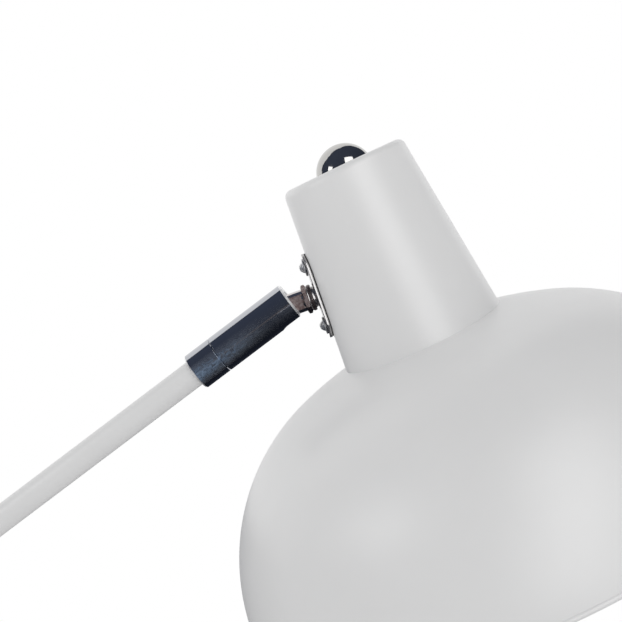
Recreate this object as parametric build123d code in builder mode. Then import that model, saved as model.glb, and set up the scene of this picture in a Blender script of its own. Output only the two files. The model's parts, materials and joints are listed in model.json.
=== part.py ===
from build123d import *
import os
from math import acos, atan2, cos, degrees, radians, sin, sqrt

# Arc floor lamp, millimetres, +Z up. The origin is the centre of the base's underside. The arc lies in
# the XZ plane and reaches towards +X, where a ball joint carries the dome head.

# Clearances
thread_gap = 0.05  # radial, between a thread and its hole in the same body
running_gap = 0.05  # radial, between a turning shaft and its hole
face_gap = 0.1  # between flat faces that turn against each other
motion_gap = 0.3  # between other faces that move past each other

# Base
pad_radius = 138.0
pad_thickness = 3.0
weight_height = 22.0
base_radius = 150.0
base_sheet = 1.2
base_edge_radius = 8.0
weight_side_gap = 0.8
cover_hem = 1.5  # height of the cover's lower edge over the floor
recess_radius = 19.0
recess_depth = 11.0
base_washer_radius = 15.0
base_washer_thickness = 2.0
bolt_radius = 5.0
bolt_head_across = 17.0
bolt_head_height = 6.4
bolt_reach = 18.0  # thread inside the foot plug

# Pole
pole_radius = 11.0
pole_wall = 1.5
section_length = 430.0
plug_length = 26.0
coupler_half = 40.0
coupler_wall = 2.0
foot_collar_radius = 18.0
foot_collar_height = 48.0
foot_collar_edge = 3.0
gland_height = 36.0  # over the base cover's top
gland_bore = 3.1
gland_wall = 1.6
gland_flange = 7.5
gland_flange_thickness = 3.0
gland_edge = 1.0
lead_radius = 2.75

# Swivel at the pole's top
bush_depth = 45.0
bush_flange = 4.0
stop_collar_height = 12.0
stop_collar_wall = 3.5
stop_collar_edge = 0.8
grub_radius = 2.0
grub_key_across = 2.0
grub_key_depth = 1.7

# Arc
arm_radius = 7.5
arm_wall = 1.5
riser = 105.0  # straight tube over the bush's flange
arc_radius = 420.0
arm_rise = 37.14  # degrees over the floor, of the straight tip
tip_length = 400.0

# Polished sleeve: rear collar, groove and slotted front half
sleeve_radius = 10.6
sleeve_edge = 0.5
collar_length = 16.3
tube_depth = 13.0
parting_groove = 0.4
parting_edge = 0.2
sleeve_length = 48.8
spigot_radius = 8.0
spigot_length = 18.0
ring_from_collar = 7.0
ring_groove_width = 1.4
ring_groove_depth = 0.8
ring_thickness = 1.0
ring_split = 3.0
sleeve_groove_depth = 0.9
slot_length = 13.3
slot_width = 8.8

# Ball, cup and disc springs
ball_radius = 8.0
ball_depth = 7.6  # from the sleeve's mouth to the ball's centre
lip_inset = 4.9  # from the ball's centre to the inner side of the mouth's lip
mouth_flare = 0.9
stem_bore = 3.0
cup_back = 14.0  # from the ball's centre to the cup's flat back
cup_front = 4.0
spring_count = 6
spring_sheet = 0.8
spring_inner = 4.2

# Stem
tongue_radius = 6.1
tongue_end = 14.2  # from the ball's centre
journal_radius = 5.0
nut_across = 14.0
lock_nut_height = 2.6
stem_washer_radius = 7.3
stem_washer_thickness = 2.55
stem_boss_radius = 5.9
stem_boss_height = 1.1
friction_washer_radius = 8.5
friction_washer_thickness = 1.0
stem_nut_height = 5.0
stem_end = 1.0  # thread beyond the inner nut
stem_lead_inset = 1.7  # from the ball's back to the lead's end

# Joint plate on the neck
plate_length = 48.0
plate_width = 18.0
plate_thickness = 1.5
plate_edge = 0.35
plate_cut = 5.0  # deeper than the bent plate and its gasket
gasket_thickness = 0.7
gasket_inset = 0.3
plate_height = 44.25  # from the neck's rim, along its side
screw_spacing = 33.4
screw_radius = 2.0
screw_hole_gap = 0.25
screw_flange = 4.9
screw_flange_thickness = 0.9
screw_crown = 3.1
screw_crown_height = 2.6
screw_crown_curve = 4.0
recess_length = 3.6
recess_width = 0.9
recess_cut = 1.1
screw_nut_across = 7.0
screw_nut_height = 3.2
screw_end = 1.0
saddle_length = 44.0
saddle_width = 13.0
saddle_thickness = 2.0
stem_hole_gap = 0.5

# Neck and finial
neck_tilt = 25.35  # degrees from the vertical, rim away from the pole
neck_bottom_radius = 45.45
neck_top_radius = 35.05
neck_height = 101.85
neck_wall = 1.2
neck_top_fillet = 4.1
neck_rim_fillet = 0.4
finial_radius = 15.25
finial_height = 11.6
finial_thread = 7.5
nipple_radius = 5.0
nipple_bore = 3.5
neck_nut_height = 4.0

# Shade
shade_sheet = 1.2
crown_radius = 231.0
crown_angle = 20.0  # half angle of the crown before the shoulder takes over
shoulder_radius = 113.2
flat_radius = 30.0
bead_radius = 1.5

# Lampholder
skirt_radius = 19.9
skirt_wall = 2.2
skirt_below = 16.0  # thread under the shade's flat
skirt_flange = 25.0
skirt_flange_thickness = 3.0
body_radius = 19.0
body_above = 20.0
ledge_width = 2.2
ledge_height = 6.0
ledge_thickness = 2.0
insert_thickness = 8.0
insert_gap = 0.1
cap_height = 27.0
cap_wall = 1.8
cap_fillet = 6.0
cap_thread = 6.0
shade_ring_radius = 28.0
shade_ring_height = 8.0
shade_ring_edge = 1.5
shade_hole_gap = 0.2
shell_radius = 13.9
shell_sheet = 0.5
shell_length = 22.0
contact_radius = 4.0
contact_thickness = 1.2
contact_hole_gap = 1.5

# Bulb
bulb_cap_radius = 13.1
bulb_cap_length = 25.0
bulb_tip_radius = 4.5
bulb_tip_height = 2.5
bulb_cap_wall = 0.8
bulb_taper = 4.6  # height of the insulator's slope
globe_radius = 30.0
globe_drop = 54.0  # from the cap's lower edge to the globe's centre
glass_wall = 1.0
glass_seat = 4.0  # glass neck inside the cap
glass_gap = 0.1

os.makedirs("parts", exist_ok=True)


def save(builder, node):
    """Label a finished piece and write it under its node's name."""
    builder.part.label = node
    export_step(builder.part, f"parts/{node}.step")


def side_of(frame):
    """Plane through a frame's axis: sketch x is the radius and sketch y the height along the axis."""
    return Plane(origin=frame.origin, x_dir=frame.x_dir, z_dir=frame.x_dir.cross(frame.z_dir))


def axis_of(frame):
    """The axis that a frame's round pieces are turned about."""
    return Axis(frame.origin, frame.z_dir)


def heading(rise):
    """Unit vector in the XZ plane that climbs towards +X at an angle in degrees."""
    return Vector(cos(radians(rise)), 0, sin(radians(rise)))


# Heights on the stand
weight_bottom = pad_thickness
weight_top = weight_bottom + weight_height
base_top = weight_top + base_sheet
pole_bore = pole_radius - pole_wall
seam_height = base_top + section_length
pole_top = seam_height + section_length
bush_top = pole_top + bush_flange
bush_bottom = pole_top - bush_depth
stand_frame = Plane.XY
stand_side = side_of(stand_frame)
stand_axis = axis_of(stand_frame)

# Arc: up from the bush, round the bend, then straight along the tip
arc_bottom = bush_bottom + face_gap
bend_start = bush_top + riser
bend_centre = Vector(arc_radius, 0, bend_start)
bend_angle = 90 - arm_rise
arm_way = heading(arm_rise)
arm_down = heading(arm_rise - 90)


def bend_point(radius, angle):
    """Point at a radius about the bend's centre, an angle in degrees along the bend."""
    return bend_centre + Vector(-cos(radians(angle)), 0, sin(radians(angle))) * radius


tip_end = bend_point(arc_radius, bend_angle) + arm_way * tip_length

# Joint: the ball's centre is the origin of the arm's and the stem's frames
collar_back = ball_depth - sleeve_length - parting_groove - collar_length
collar_front = collar_back + collar_length
sleeve_back = collar_front + parting_groove
tube_seat = collar_back + tube_depth
spigot_tip = collar_front + spigot_length
ball_centre = tip_end - arm_way * tube_seat
arm_frame = Plane(origin=ball_centre, x_dir=arm_down, z_dir=arm_way)
arm_side = side_of(arm_frame)
arm_axis = axis_of(arm_frame)

half_angle = degrees(atan2(neck_bottom_radius - neck_top_radius, neck_height))
stem_rise = neck_tilt - half_angle
stem_way = heading(stem_rise)
stem_down = heading(stem_rise - 90)
stem_frame = Plane(origin=ball_centre, x_dir=stem_down, z_dir=stem_way)
stem_side = side_of(stem_frame)
stem_axis = axis_of(stem_frame)

# Stack along the stem, from the ball's centre
lock_nut_end = tongue_end + lock_nut_height
stem_washer_end = lock_nut_end + stem_washer_thickness
plate_front = stem_washer_end + stem_boss_height + face_gap
plate_back = plate_front + plate_thickness
neck_face = plate_back + gasket_thickness
saddle_front = neck_face + neck_wall
saddle_back = saddle_front + saddle_thickness
friction_front = saddle_back + face_gap
stem_nut_front = friction_front + friction_washer_thickness
stem_tip = stem_nut_front + stem_nut_height + stem_end

# Head: origin at the centre of the neck's rim, z up along the neck, x towards the arm
neck_up = Vector(-sin(radians(neck_tilt)), 0, cos(radians(neck_tilt)))
neck_arm_side = Vector(-cos(radians(neck_tilt)), 0, -sin(radians(neck_tilt)))
rim_point = ball_centre + stem_way * neck_face + stem_down * plate_height
rim_centre = rim_point - neck_arm_side * neck_bottom_radius
head_frame = Plane(origin=rim_centre, x_dir=neck_arm_side, z_dir=neck_up)
head_side = side_of(head_frame)
head_axis = axis_of(head_frame)

neck_wall_across = neck_wall / cos(radians(half_angle))
neck_inner_bottom = neck_bottom_radius - neck_wall_across
neck_inner_top = neck_top_radius - neck_wall_across
neck_ceiling = neck_height - neck_wall


def neck_radius(height, at_rim):
    """Radius of the neck's cone at a height, from its radius at the rim."""
    return at_rim - height * (neck_bottom_radius - neck_top_radius) / neck_height


# Shade heights in the head frame: the neck's rim stands on the crown
crown_centre = -sqrt(crown_radius**2 - neck_inner_bottom**2)
crown_turn = radians(crown_angle)
shoulder_out = (crown_radius - shoulder_radius) * sin(crown_turn)
shoulder_height = crown_centre + (crown_radius - shoulder_radius) * cos(crown_turn)
shade_rim_radius = shoulder_out + shoulder_radius
flat_top = crown_centre + sqrt(crown_radius**2 - flat_radius**2)
flat_under = flat_top - shade_sheet

# Lampholder heights in the head frame
skirt_bottom = flat_under - skirt_below
body_bottom = flat_top + skirt_flange_thickness
body_top = body_bottom + body_above
ledge_bottom = body_bottom + ledge_height
insert_bottom = ledge_bottom + ledge_thickness
cap_top = body_top + cap_height
skirt_inner = skirt_radius - skirt_wall
cap_inner = body_radius - cap_wall
nipple_bottom = cap_top - cap_wall - cap_thread
contact_under = insert_bottom - contact_thickness
bulb_shoulder = contact_under - bulb_tip_height
bulb_cap_bottom = bulb_shoulder - bulb_cap_length

# Base
weight_radius = base_radius - base_sheet - weight_side_gap
recess_ceiling = weight_bottom + recess_depth
bolt_head_top = recess_ceiling - base_washer_thickness
bolt_hole = bolt_radius + thread_gap

with BuildPart() as base_pad:
    with BuildSketch():
        Circle(pad_radius)
    extrude(amount=pad_thickness)
save(base_pad, "base_pad")

with BuildPart() as base_weight:
    with BuildSketch(Plane.XY.offset(weight_bottom)):
        Circle(weight_radius)
        Circle(bolt_hole, mode=Mode.SUBTRACT)
    extrude(amount=weight_height)
    with BuildSketch(Plane.XY.offset(weight_bottom)):
        Circle(recess_radius)
    extrude(amount=recess_depth, mode=Mode.SUBTRACT)
    weight_rings = base_weight.edges().filter_by(GeomType.CIRCLE).group_by(Axis.Z)[-1]
    fillet(weight_rings.sort_by(SortBy.RADIUS)[-1], radius=base_edge_radius)
save(base_weight, "base_weight")

with BuildPart() as base_cover:
    with BuildSketch(stand_side) as cover_profile:
        with BuildLine():
            Polyline(
                (bolt_hole, base_top),
                (base_radius, base_top),
                (base_radius, cover_hem),
                (base_radius - base_sheet, cover_hem),
                (base_radius - base_sheet, weight_top),
                (bolt_hole, weight_top),
                close=True,
            )
        make_face()
        corners = cover_profile.vertices().group_by(Axis.X)
        fillet(corners[-1].sort_by(Axis.Y)[-1], radius=base_edge_radius)
        fillet(corners[-2].sort_by(Axis.Y)[-1], radius=base_edge_radius - base_sheet)
    revolve(axis=stand_axis)
save(base_cover, "base_cover")

with BuildPart() as base_washer:
    with BuildSketch(Plane.XY.offset(bolt_head_top)):
        Circle(base_washer_radius)
        Circle(bolt_hole, mode=Mode.SUBTRACT)
    extrude(amount=base_washer_thickness)
save(base_washer, "base_washer")

with BuildPart() as base_bolt:
    with BuildSketch(Plane.XY.offset(bolt_head_top - bolt_head_height)):
        RegularPolygon(bolt_head_across / 2, side_count=6, major_radius=False)
    extrude(amount=bolt_head_height)
    with BuildSketch(Plane.XY.offset(bolt_head_top)):
        Circle(bolt_radius)
    extrude(amount=base_top + bolt_reach - bolt_head_top)
save(base_bolt, "base_bolt")

# Pole
with BuildPart() as foot_plug:
    with BuildSketch(Plane.XY.offset(base_top)):
        Circle(pole_bore - thread_gap)
        Circle(bolt_hole, mode=Mode.SUBTRACT)
    extrude(amount=plug_length)
save(foot_plug, "foot_plug")

gland_level = base_top + gland_height
gland_plane = Plane(origin=(0, 0, gland_level), x_dir=(0, 1, 0), z_dir=(-1, 0, 0))
gland_body = gland_bore + gland_wall
gland_spot = gland_flange + motion_gap
gland_seat = sqrt(foot_collar_radius**2 - gland_spot**2)

with BuildPart() as lower_pole:
    with BuildSketch(Plane.XY.offset(base_top)):
        Circle(pole_radius)
        Circle(pole_bore, mode=Mode.SUBTRACT)
    extrude(amount=section_length)
    with BuildSketch(gland_plane):
        Circle(gland_body + thread_gap)
    extrude(amount=foot_collar_radius, mode=Mode.SUBTRACT)
save(lower_pole, "lower_pole")

with BuildPart() as foot_collar:
    with BuildSketch(Plane.XY.offset(base_top)):
        Circle(foot_collar_radius)
        Circle(pole_radius + thread_gap, mode=Mode.SUBTRACT)
    extrude(amount=foot_collar_height)
    top_rings = foot_collar.edges().filter_by(GeomType.CIRCLE).group_by(Axis.Z)[-1]
    fillet(top_rings.sort_by(SortBy.RADIUS)[-1], radius=foot_collar_edge)
    with BuildSketch(gland_plane):
        Circle(gland_body + thread_gap)
    extrude(amount=foot_collar_radius, mode=Mode.SUBTRACT)
    with BuildSketch(gland_plane.offset(gland_seat)):
        Circle(gland_spot)
    extrude(amount=foot_collar_radius, mode=Mode.SUBTRACT)
save(foot_collar, "foot_collar")

with BuildPart() as cord_gland:
    with BuildSketch(gland_plane.offset(pole_bore)):
        Circle(gland_body)
    extrude(amount=gland_seat - pole_bore)
    with BuildSketch(gland_plane.offset(gland_seat)):
        Circle(gland_flange)
    extrude(amount=gland_flange_thickness)
    gland_rings = cord_gland.edges().filter_by(GeomType.CIRCLE).sort_by(Axis.X)
    fillet(gland_rings[0], radius=gland_edge)
    with BuildSketch(gland_plane):
        Circle(gland_bore)
    extrude(amount=gland_seat + gland_flange_thickness, mode=Mode.SUBTRACT)
save(cord_gland, "cord_gland")

with BuildPart() as pole_coupler:
    with BuildSketch(Plane.XY.offset(seam_height - coupler_half)):
        Circle(pole_bore - thread_gap)
        Circle(pole_bore - thread_gap - coupler_wall, mode=Mode.SUBTRACT)
    extrude(amount=2 * coupler_half)
save(pole_coupler, "pole_coupler")

with BuildPart() as upper_pole:
    with BuildSketch(Plane.XY.offset(seam_height)):
        Circle(pole_radius)
        Circle(pole_bore, mode=Mode.SUBTRACT)
    extrude(amount=section_length)
save(upper_pole, "upper_pole")

with BuildPart() as swivel_bush:
    with BuildSketch(Plane.XY.offset(bush_bottom)):
        Circle(pole_bore - thread_gap)
    extrude(amount=bush_depth)
    with BuildSketch(Plane.XY.offset(pole_top)):
        Circle(pole_radius)
    extrude(amount=bush_flange)
    with BuildSketch(Plane.XY.offset(bush_bottom)):
        Circle(arm_radius + running_gap)
    extrude(amount=bush_depth + bush_flange, mode=Mode.SUBTRACT)
save(swivel_bush, "swivel_bush")

pole_lead_x = pole_bore - thread_gap - coupler_wall - motion_gap - lead_radius
pole_lead_bottom = base_top + plug_length + motion_gap
with BuildPart() as pole_lead:
    with BuildSketch(Plane.XY.offset(pole_lead_bottom)):
        with Locations((pole_lead_x, 0)):
            Circle(lead_radius)
    extrude(amount=bush_bottom - motion_gap - pole_lead_bottom)
save(pole_lead, "pole_lead")

# Arc
collar_outer = arm_radius + stop_collar_wall
collar_bottom = bush_top + motion_gap
grub_plane = Plane(origin=(0, 0, collar_bottom + stop_collar_height / 2), x_dir=(0, 1, 0), z_dir=(-1, 0, 0))

with BuildPart() as stop_collar:
    with BuildSketch(Plane.XY.offset(collar_bottom)):
        Circle(collar_outer)
        Circle(arm_radius + thread_gap, mode=Mode.SUBTRACT)
    extrude(amount=stop_collar_height)
    rings = stop_collar.edges().filter_by(GeomType.CIRCLE).sort_by(SortBy.RADIUS)
    chamfer(rings[-2:], length=stop_collar_edge)
    with BuildSketch(grub_plane):
        Circle(grub_radius + thread_gap)
    extrude(amount=collar_outer, mode=Mode.SUBTRACT)
save(stop_collar, "stop_collar")

with BuildPart() as collar_screw:
    with BuildSketch(grub_plane.offset(arm_radius + thread_gap)):
        Circle(grub_radius)
    extrude(amount=stop_collar_wall - motion_gap)
    with BuildSketch(grub_plane.offset(collar_outer)):
        RegularPolygon(grub_key_across / 2, side_count=6, major_radius=False)
    extrude(amount=-grub_key_depth, mode=Mode.SUBTRACT)
save(collar_screw, "collar_screw")


def arc_route(inset, start_height, tip_reach):
    """Draw the tube's route, or one that runs a little inside its bend, in the open line builder."""
    radius = arc_radius - inset
    start = Vector(inset, 0, start_height)
    bend_in = bend_point(radius, 0)
    bend_out = bend_point(radius, bend_angle)
    Line(start, bend_in)
    ThreePointArc(bend_in, bend_point(radius, bend_angle / 2), bend_out)
    Line(bend_out, bend_out + arm_way * tip_reach)


with BuildPart() as arc_tube:
    with BuildLine() as tube_route:
        arc_route(0, arc_bottom, tip_length)
    with BuildSketch(Plane.XY.offset(arc_bottom)):
        Circle(arm_radius)
        Circle(arm_radius - arm_wall, mode=Mode.SUBTRACT)
    sweep(path=tube_route.wire())
save(arc_tube, "arc_tube")

arm_lead_inset = arm_radius - arm_wall - motion_gap - lead_radius
with BuildPart() as arm_lead:
    with BuildLine() as lead_route:
        arc_route(arm_lead_inset, arc_bottom, tip_length + spigot_tip - tube_seat)
    with BuildSketch(Plane.XY.offset(arc_bottom)):
        with Locations((arm_lead_inset, 0)):
            Circle(lead_radius)
    sweep(path=lead_route.wire())
save(arm_lead, "arm_lead")

# Polished sleeve
ring_front = collar_front + ring_from_collar
ring_back = ring_front + ring_groove_width
groove_floor = spigot_radius - ring_groove_depth
passage = arm_radius - arm_wall
sleeve_bore = spigot_radius + running_gap

with BuildPart() as arm_collar:
    with BuildSketch(arm_side):
        with BuildLine():
            Polyline(
                (arm_radius + thread_gap + sleeve_edge, collar_back),
                (sleeve_radius - sleeve_edge, collar_back),
                (sleeve_radius, collar_back + sleeve_edge),
                (sleeve_radius, collar_front - parting_edge),
                (sleeve_radius - parting_edge, collar_front),
                (spigot_radius, collar_front),
                (spigot_radius, ring_front),
                (groove_floor, ring_front),
                (groove_floor, ring_back),
                (spigot_radius, ring_back),
                (spigot_radius, spigot_tip),
                (passage, spigot_tip),
                (passage, tube_seat),
                (arm_radius + thread_gap, tube_seat),
                (arm_radius + thread_gap, collar_back + sleeve_edge),
                close=True,
            )
        make_face()
    revolve(axis=arm_axis)
save(arm_collar, "arm_collar")

ring_bottom = ring_front + (ring_groove_width - ring_thickness) / 2
sleeve_groove = sleeve_bore + sleeve_groove_depth
with BuildPart() as retaining_ring:
    with BuildSketch(arm_frame.offset(ring_bottom)):
        Circle(sleeve_groove - motion_gap)
        Circle(groove_floor + thread_gap, mode=Mode.SUBTRACT)
        with Locations((sleeve_groove, 0)):
            Rectangle(2 * sleeve_groove, ring_split, mode=Mode.SUBTRACT)
    extrude(amount=ring_thickness)
save(retaining_ring, "retaining_ring")

lip_radius = tongue_radius + motion_gap
slot_plane = Plane(origin=ball_centre, x_dir=arm_way, z_dir=arm_down)
slot_back = ball_depth - slot_length + slot_width / 2
groove_back = ring_front - motion_gap
groove_front = ring_back + motion_gap

with BuildPart() as joint_sleeve:
    with BuildSketch(arm_side):
        with BuildLine():
            Polyline(
                (sleeve_bore, sleeve_back),
                (sleeve_radius - parting_edge, sleeve_back),
                (sleeve_radius, sleeve_back + parting_edge),
                (sleeve_radius, ball_depth - sleeve_edge),
                (sleeve_radius - sleeve_edge, ball_depth),
                (lip_radius + mouth_flare, ball_depth),
                (lip_radius, ball_depth - mouth_flare),
                (lip_radius, lip_inset),
                (sleeve_bore, lip_inset),
                (sleeve_bore, groove_front),
                (sleeve_groove, groove_front),
                (sleeve_groove, groove_back),
                (sleeve_bore, groove_back),
                close=True,
            )
        make_face()
    revolve(axis=arm_axis)
    with BuildSketch(slot_plane):
        with Locations((slot_back, 0)):
            Circle(slot_width / 2)
            Rectangle(2 * sleeve_length, slot_width, align=(Align.MIN, Align.CENTER))
    extrude(amount=2 * sleeve_radius, mode=Mode.SUBTRACT)
save(joint_sleeve, "joint_sleeve")

with BuildPart() as ball_cup:
    with BuildSketch(arm_frame.offset(-cup_back)):
        Circle(spigot_radius)
        Circle(stem_bore, mode=Mode.SUBTRACT)
    extrude(amount=cup_back - cup_front)
    with Locations(ball_centre):
        Sphere(ball_radius + motion_gap, mode=Mode.SUBTRACT)
save(ball_cup, "ball_cup")

springs_back = spigot_tip + motion_gap
spring_pitch = (-cup_back - springs_back) / spring_count
spring_rise = spring_pitch - spring_sheet - thread_gap
spring_outer = spigot_radius - motion_gap

with BuildPart() as disc_springs:
    for number in range(spring_count):
        low = springs_back + number * spring_pitch
        inner_lift = spring_rise if number % 2 else 0
        outer_lift = spring_rise - inner_lift
        with BuildSketch(arm_side):
            with BuildLine():
                Polyline(
                    (spring_inner, low + inner_lift),
                    (spring_outer, low + outer_lift),
                    (spring_outer, low + outer_lift + spring_sheet),
                    (spring_inner, low + inner_lift + spring_sheet),
                    close=True,
                )
            make_face()
        revolve(axis=arm_axis)
save(disc_springs, "disc_springs")

with BuildPart() as joint_lead:
    with BuildSketch(arm_frame.offset(spigot_tip + motion_gap)):
        Circle(lead_radius)
    extrude(amount=-ball_radius - 2 * motion_gap - spigot_tip)
save(joint_lead, "joint_lead")

# Ball stem and what turns with it
with BuildPart() as ball_stem:
    with Locations(ball_centre):
        Sphere(ball_radius)
    with BuildSketch(stem_frame):
        Circle(tongue_radius)
        Rectangle(2 * tongue_radius, slot_width - 2 * motion_gap, mode=Mode.INTERSECT)
    extrude(amount=tongue_end)
    with BuildSketch(stem_frame.offset(tongue_end)):
        Circle(journal_radius)
    extrude(amount=stem_tip - tongue_end)
    with BuildSketch(stem_frame.offset(-ball_radius)):
        Circle(stem_bore)
    extrude(amount=ball_radius + stem_tip, mode=Mode.SUBTRACT)
save(ball_stem, "ball_stem")

nut_corner = nut_across / sqrt(3)
nut_bevel = (nut_corner - nut_across / 2) / 2
with BuildPart() as lock_nut:
    with BuildSketch(stem_frame.offset(tongue_end)):
        RegularPolygon(nut_across / 2, side_count=6, major_radius=False)
        Circle(journal_radius + thread_gap, mode=Mode.SUBTRACT)
    extrude(amount=lock_nut_height)
    with BuildSketch(stem_side):
        with BuildLine():
            Polyline(
                (0, tongue_end),
                (nut_across / 2, tongue_end),
                (nut_corner, tongue_end + nut_bevel),
                (nut_corner, lock_nut_end - nut_bevel),
                (nut_across / 2, lock_nut_end),
                (0, lock_nut_end),
                close=True,
            )
        make_face()
    revolve(axis=stem_axis, mode=Mode.INTERSECT)
save(lock_nut, "lock_nut")

with BuildPart() as stem_washer:
    with BuildSketch(stem_frame.offset(lock_nut_end)):
        Circle(stem_washer_radius)
        Circle(journal_radius + thread_gap, mode=Mode.SUBTRACT)
    extrude(amount=stem_washer_thickness)
    with BuildSketch(stem_frame.offset(stem_washer_end)):
        Circle(stem_boss_radius)
        Circle(journal_radius + thread_gap, mode=Mode.SUBTRACT)
    extrude(amount=stem_boss_height)
save(stem_washer, "stem_washer")

with BuildPart() as friction_washer:
    with BuildSketch(stem_frame.offset(friction_front)):
        Circle(friction_washer_radius)
        Circle(journal_radius + thread_gap, mode=Mode.SUBTRACT)
    extrude(amount=friction_washer_thickness)
save(friction_washer, "friction_washer")

with BuildPart() as stem_nut:
    with BuildSketch(stem_frame.offset(stem_nut_front)):
        RegularPolygon(nut_across / 2, side_count=6, major_radius=False)
        Circle(journal_radius + thread_gap, mode=Mode.SUBTRACT)
    extrude(amount=stem_nut_height)
save(stem_nut, "stem_nut")

stem_lead_start = stem_lead_inset - ball_radius
with BuildPart() as stem_lead:
    with BuildSketch(stem_frame.offset(stem_lead_start)):
        Circle(lead_radius)
    extrude(amount=stem_tip - stem_lead_start)
save(stem_lead, "stem_lead")

# Joint plate, its screws and what clamps it
screw_places = [(-screw_spacing / 2, 0), (screw_spacing / 2, 0)]
screw_hole = screw_radius + screw_hole_gap


def neck_sheet(inner, outer):
    """Half section of a sheet round the neck, from how far its two sides are from the neck's face."""
    near = inner / cos(radians(half_angle))
    far = outer / cos(radians(half_angle))
    return [
        (neck_bottom_radius + near, 0),
        (neck_bottom_radius + far, 0),
        (neck_top_radius + far, neck_height),
        (neck_top_radius + near, neck_height),
    ]


with BuildPart() as joint_plate:
    with BuildSketch(stem_frame.offset(plate_front)):
        SlotOverall(plate_length, plate_width)
    extrude(amount=plate_cut)
    with BuildSketch(head_side):
        with BuildLine():
            Polyline(*neck_sheet(gasket_thickness, gasket_thickness + plate_thickness), close=True)
        make_face()
    revolve(axis=head_axis, mode=Mode.INTERSECT)
    plate_faces = joint_plate.faces().sort_by(SortBy.AREA)
    fillet(plate_faces[-1].edges() + plate_faces[-2].edges(), radius=plate_edge)
    with BuildSketch(stem_frame.offset(plate_front)):
        Circle(journal_radius + running_gap)
        with Locations(*screw_places):
            Circle(screw_hole)
    extrude(amount=plate_cut, mode=Mode.SUBTRACT)
save(joint_plate, "joint_plate")

with BuildPart() as plate_gasket:
    with BuildSketch(stem_frame.offset(plate_front)):
        SlotOverall(plate_length - 2 * gasket_inset, plate_width - 2 * gasket_inset)
        Circle(journal_radius + stem_hole_gap, mode=Mode.SUBTRACT)
        with Locations(*screw_places):
            Circle(screw_hole, mode=Mode.SUBTRACT)
    extrude(amount=plate_cut)
    with BuildSketch(head_side):
        with BuildLine():
            Polyline(*neck_sheet(thread_gap, gasket_thickness - thread_gap), close=True)
        make_face()
    revolve(axis=head_axis, mode=Mode.INTERSECT)
save(plate_gasket, "plate_gasket")

crown_base = plate_front - screw_flange_thickness
crown_top = crown_base - screw_crown_height
with BuildPart() as plate_screws:
    for place in screw_places:
        screw_frame = Plane(
            origin=ball_centre + stem_down * place[0], x_dir=stem_frame.x_dir, z_dir=stem_frame.z_dir
        )
        with BuildSketch(side_of(screw_frame)):
            with BuildLine():
                Polyline(
                    (0, crown_top),
                    (0, saddle_back + screw_nut_height + screw_end),
                    (screw_radius, saddle_back + screw_nut_height + screw_end),
                    (screw_radius, plate_front),
                    (screw_flange, plate_front),
                    (screw_flange, crown_base),
                    (screw_crown, crown_base),
                )
                RadiusArc((screw_crown, crown_base), (0, crown_top), screw_crown_curve)
            make_face()
        revolve(axis=axis_of(screw_frame))
        with BuildSketch(screw_frame.offset(crown_top)):
            Rectangle(recess_length, recess_width)
            Rectangle(recess_width, recess_length)
        extrude(amount=recess_cut, mode=Mode.SUBTRACT)
save(plate_screws, "plate_screws")

with BuildPart() as backing_saddle:
    with BuildSketch(stem_frame.offset(neck_face)):
        SlotOverall(saddle_length, saddle_width)
        Circle(journal_radius + stem_hole_gap, mode=Mode.SUBTRACT)
        with Locations(*screw_places):
            Circle(screw_hole, mode=Mode.SUBTRACT)
    extrude(amount=saddle_back - neck_face)
    with BuildSketch(head_side):
        with BuildLine():
            Polyline(
                (neck_inner_bottom - thread_gap, 0),
                (neck_inner_top - thread_gap, neck_height),
                (2 * neck_bottom_radius, neck_height),
                (2 * neck_bottom_radius, 0),
                close=True,
            )
        make_face()
    revolve(axis=head_axis, mode=Mode.SUBTRACT)
save(backing_saddle, "backing_saddle")

with BuildPart() as plate_nuts:
    with BuildSketch(stem_frame.offset(saddle_back)):
        with Locations(*screw_places):
            RegularPolygon(screw_nut_across / 2, side_count=6, major_radius=False)
            Circle(screw_radius + thread_gap, mode=Mode.SUBTRACT)
    extrude(amount=screw_nut_height)
save(plate_nuts, "plate_nuts")

# Neck, finial and nipple
with BuildPart() as neck:
    with BuildSketch(head_side) as neck_profile:
        with BuildLine():
            Polyline(
                (nipple_radius + thread_gap, neck_height),
                (neck_top_radius, neck_height),
                (neck_bottom_radius, 0),
                (neck_inner_bottom, 0),
                (neck_radius(neck_ceiling, neck_inner_bottom), neck_ceiling),
                (nipple_radius + thread_gap, neck_ceiling),
                close=True,
            )
        make_face()
        levels = neck_profile.vertices().group_by(Axis.Y)
        fillet(levels[-1].sort_by(Axis.X)[-1], radius=neck_top_fillet)
        fillet(levels[-2].sort_by(Axis.X)[-1], radius=neck_top_fillet - neck_wall)
        fillet(levels[0].sort_by(Axis.X)[-1], radius=neck_rim_fillet)
    revolve(axis=head_axis)
    with BuildSketch(stem_frame.offset(plate_front)):
        Circle(journal_radius + stem_hole_gap)
        with Locations(*screw_places):
            Circle(screw_hole)
    extrude(amount=saddle_back - plate_front, mode=Mode.SUBTRACT)
save(neck, "neck")

finial_top = neck_height + finial_height
finial_ball = (finial_radius**2 + finial_height**2) / (2 * finial_height)
finial_turn = degrees(atan2(finial_ball - finial_height, finial_radius))
with BuildPart() as finial:
    with BuildSketch(head_side):
        with BuildLine():
            CenterArc((0, finial_top - finial_ball), finial_ball, finial_turn, 90 - finial_turn)
            Polyline((0, finial_top), (0, neck_height), (finial_radius, neck_height))
        make_face()
    revolve(axis=head_axis)
    with BuildSketch(head_frame.offset(neck_height)):
        Circle(nipple_radius + thread_gap)
    extrude(amount=finial_thread, mode=Mode.SUBTRACT)
save(finial, "finial")

with BuildPart() as neck_nut:
    with BuildSketch(head_frame.offset(neck_ceiling - neck_nut_height)):
        RegularPolygon(nut_across / 2, side_count=6, major_radius=False)
        Circle(nipple_radius + thread_gap, mode=Mode.SUBTRACT)
    extrude(amount=neck_nut_height)
save(neck_nut, "neck_nut")

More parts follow.
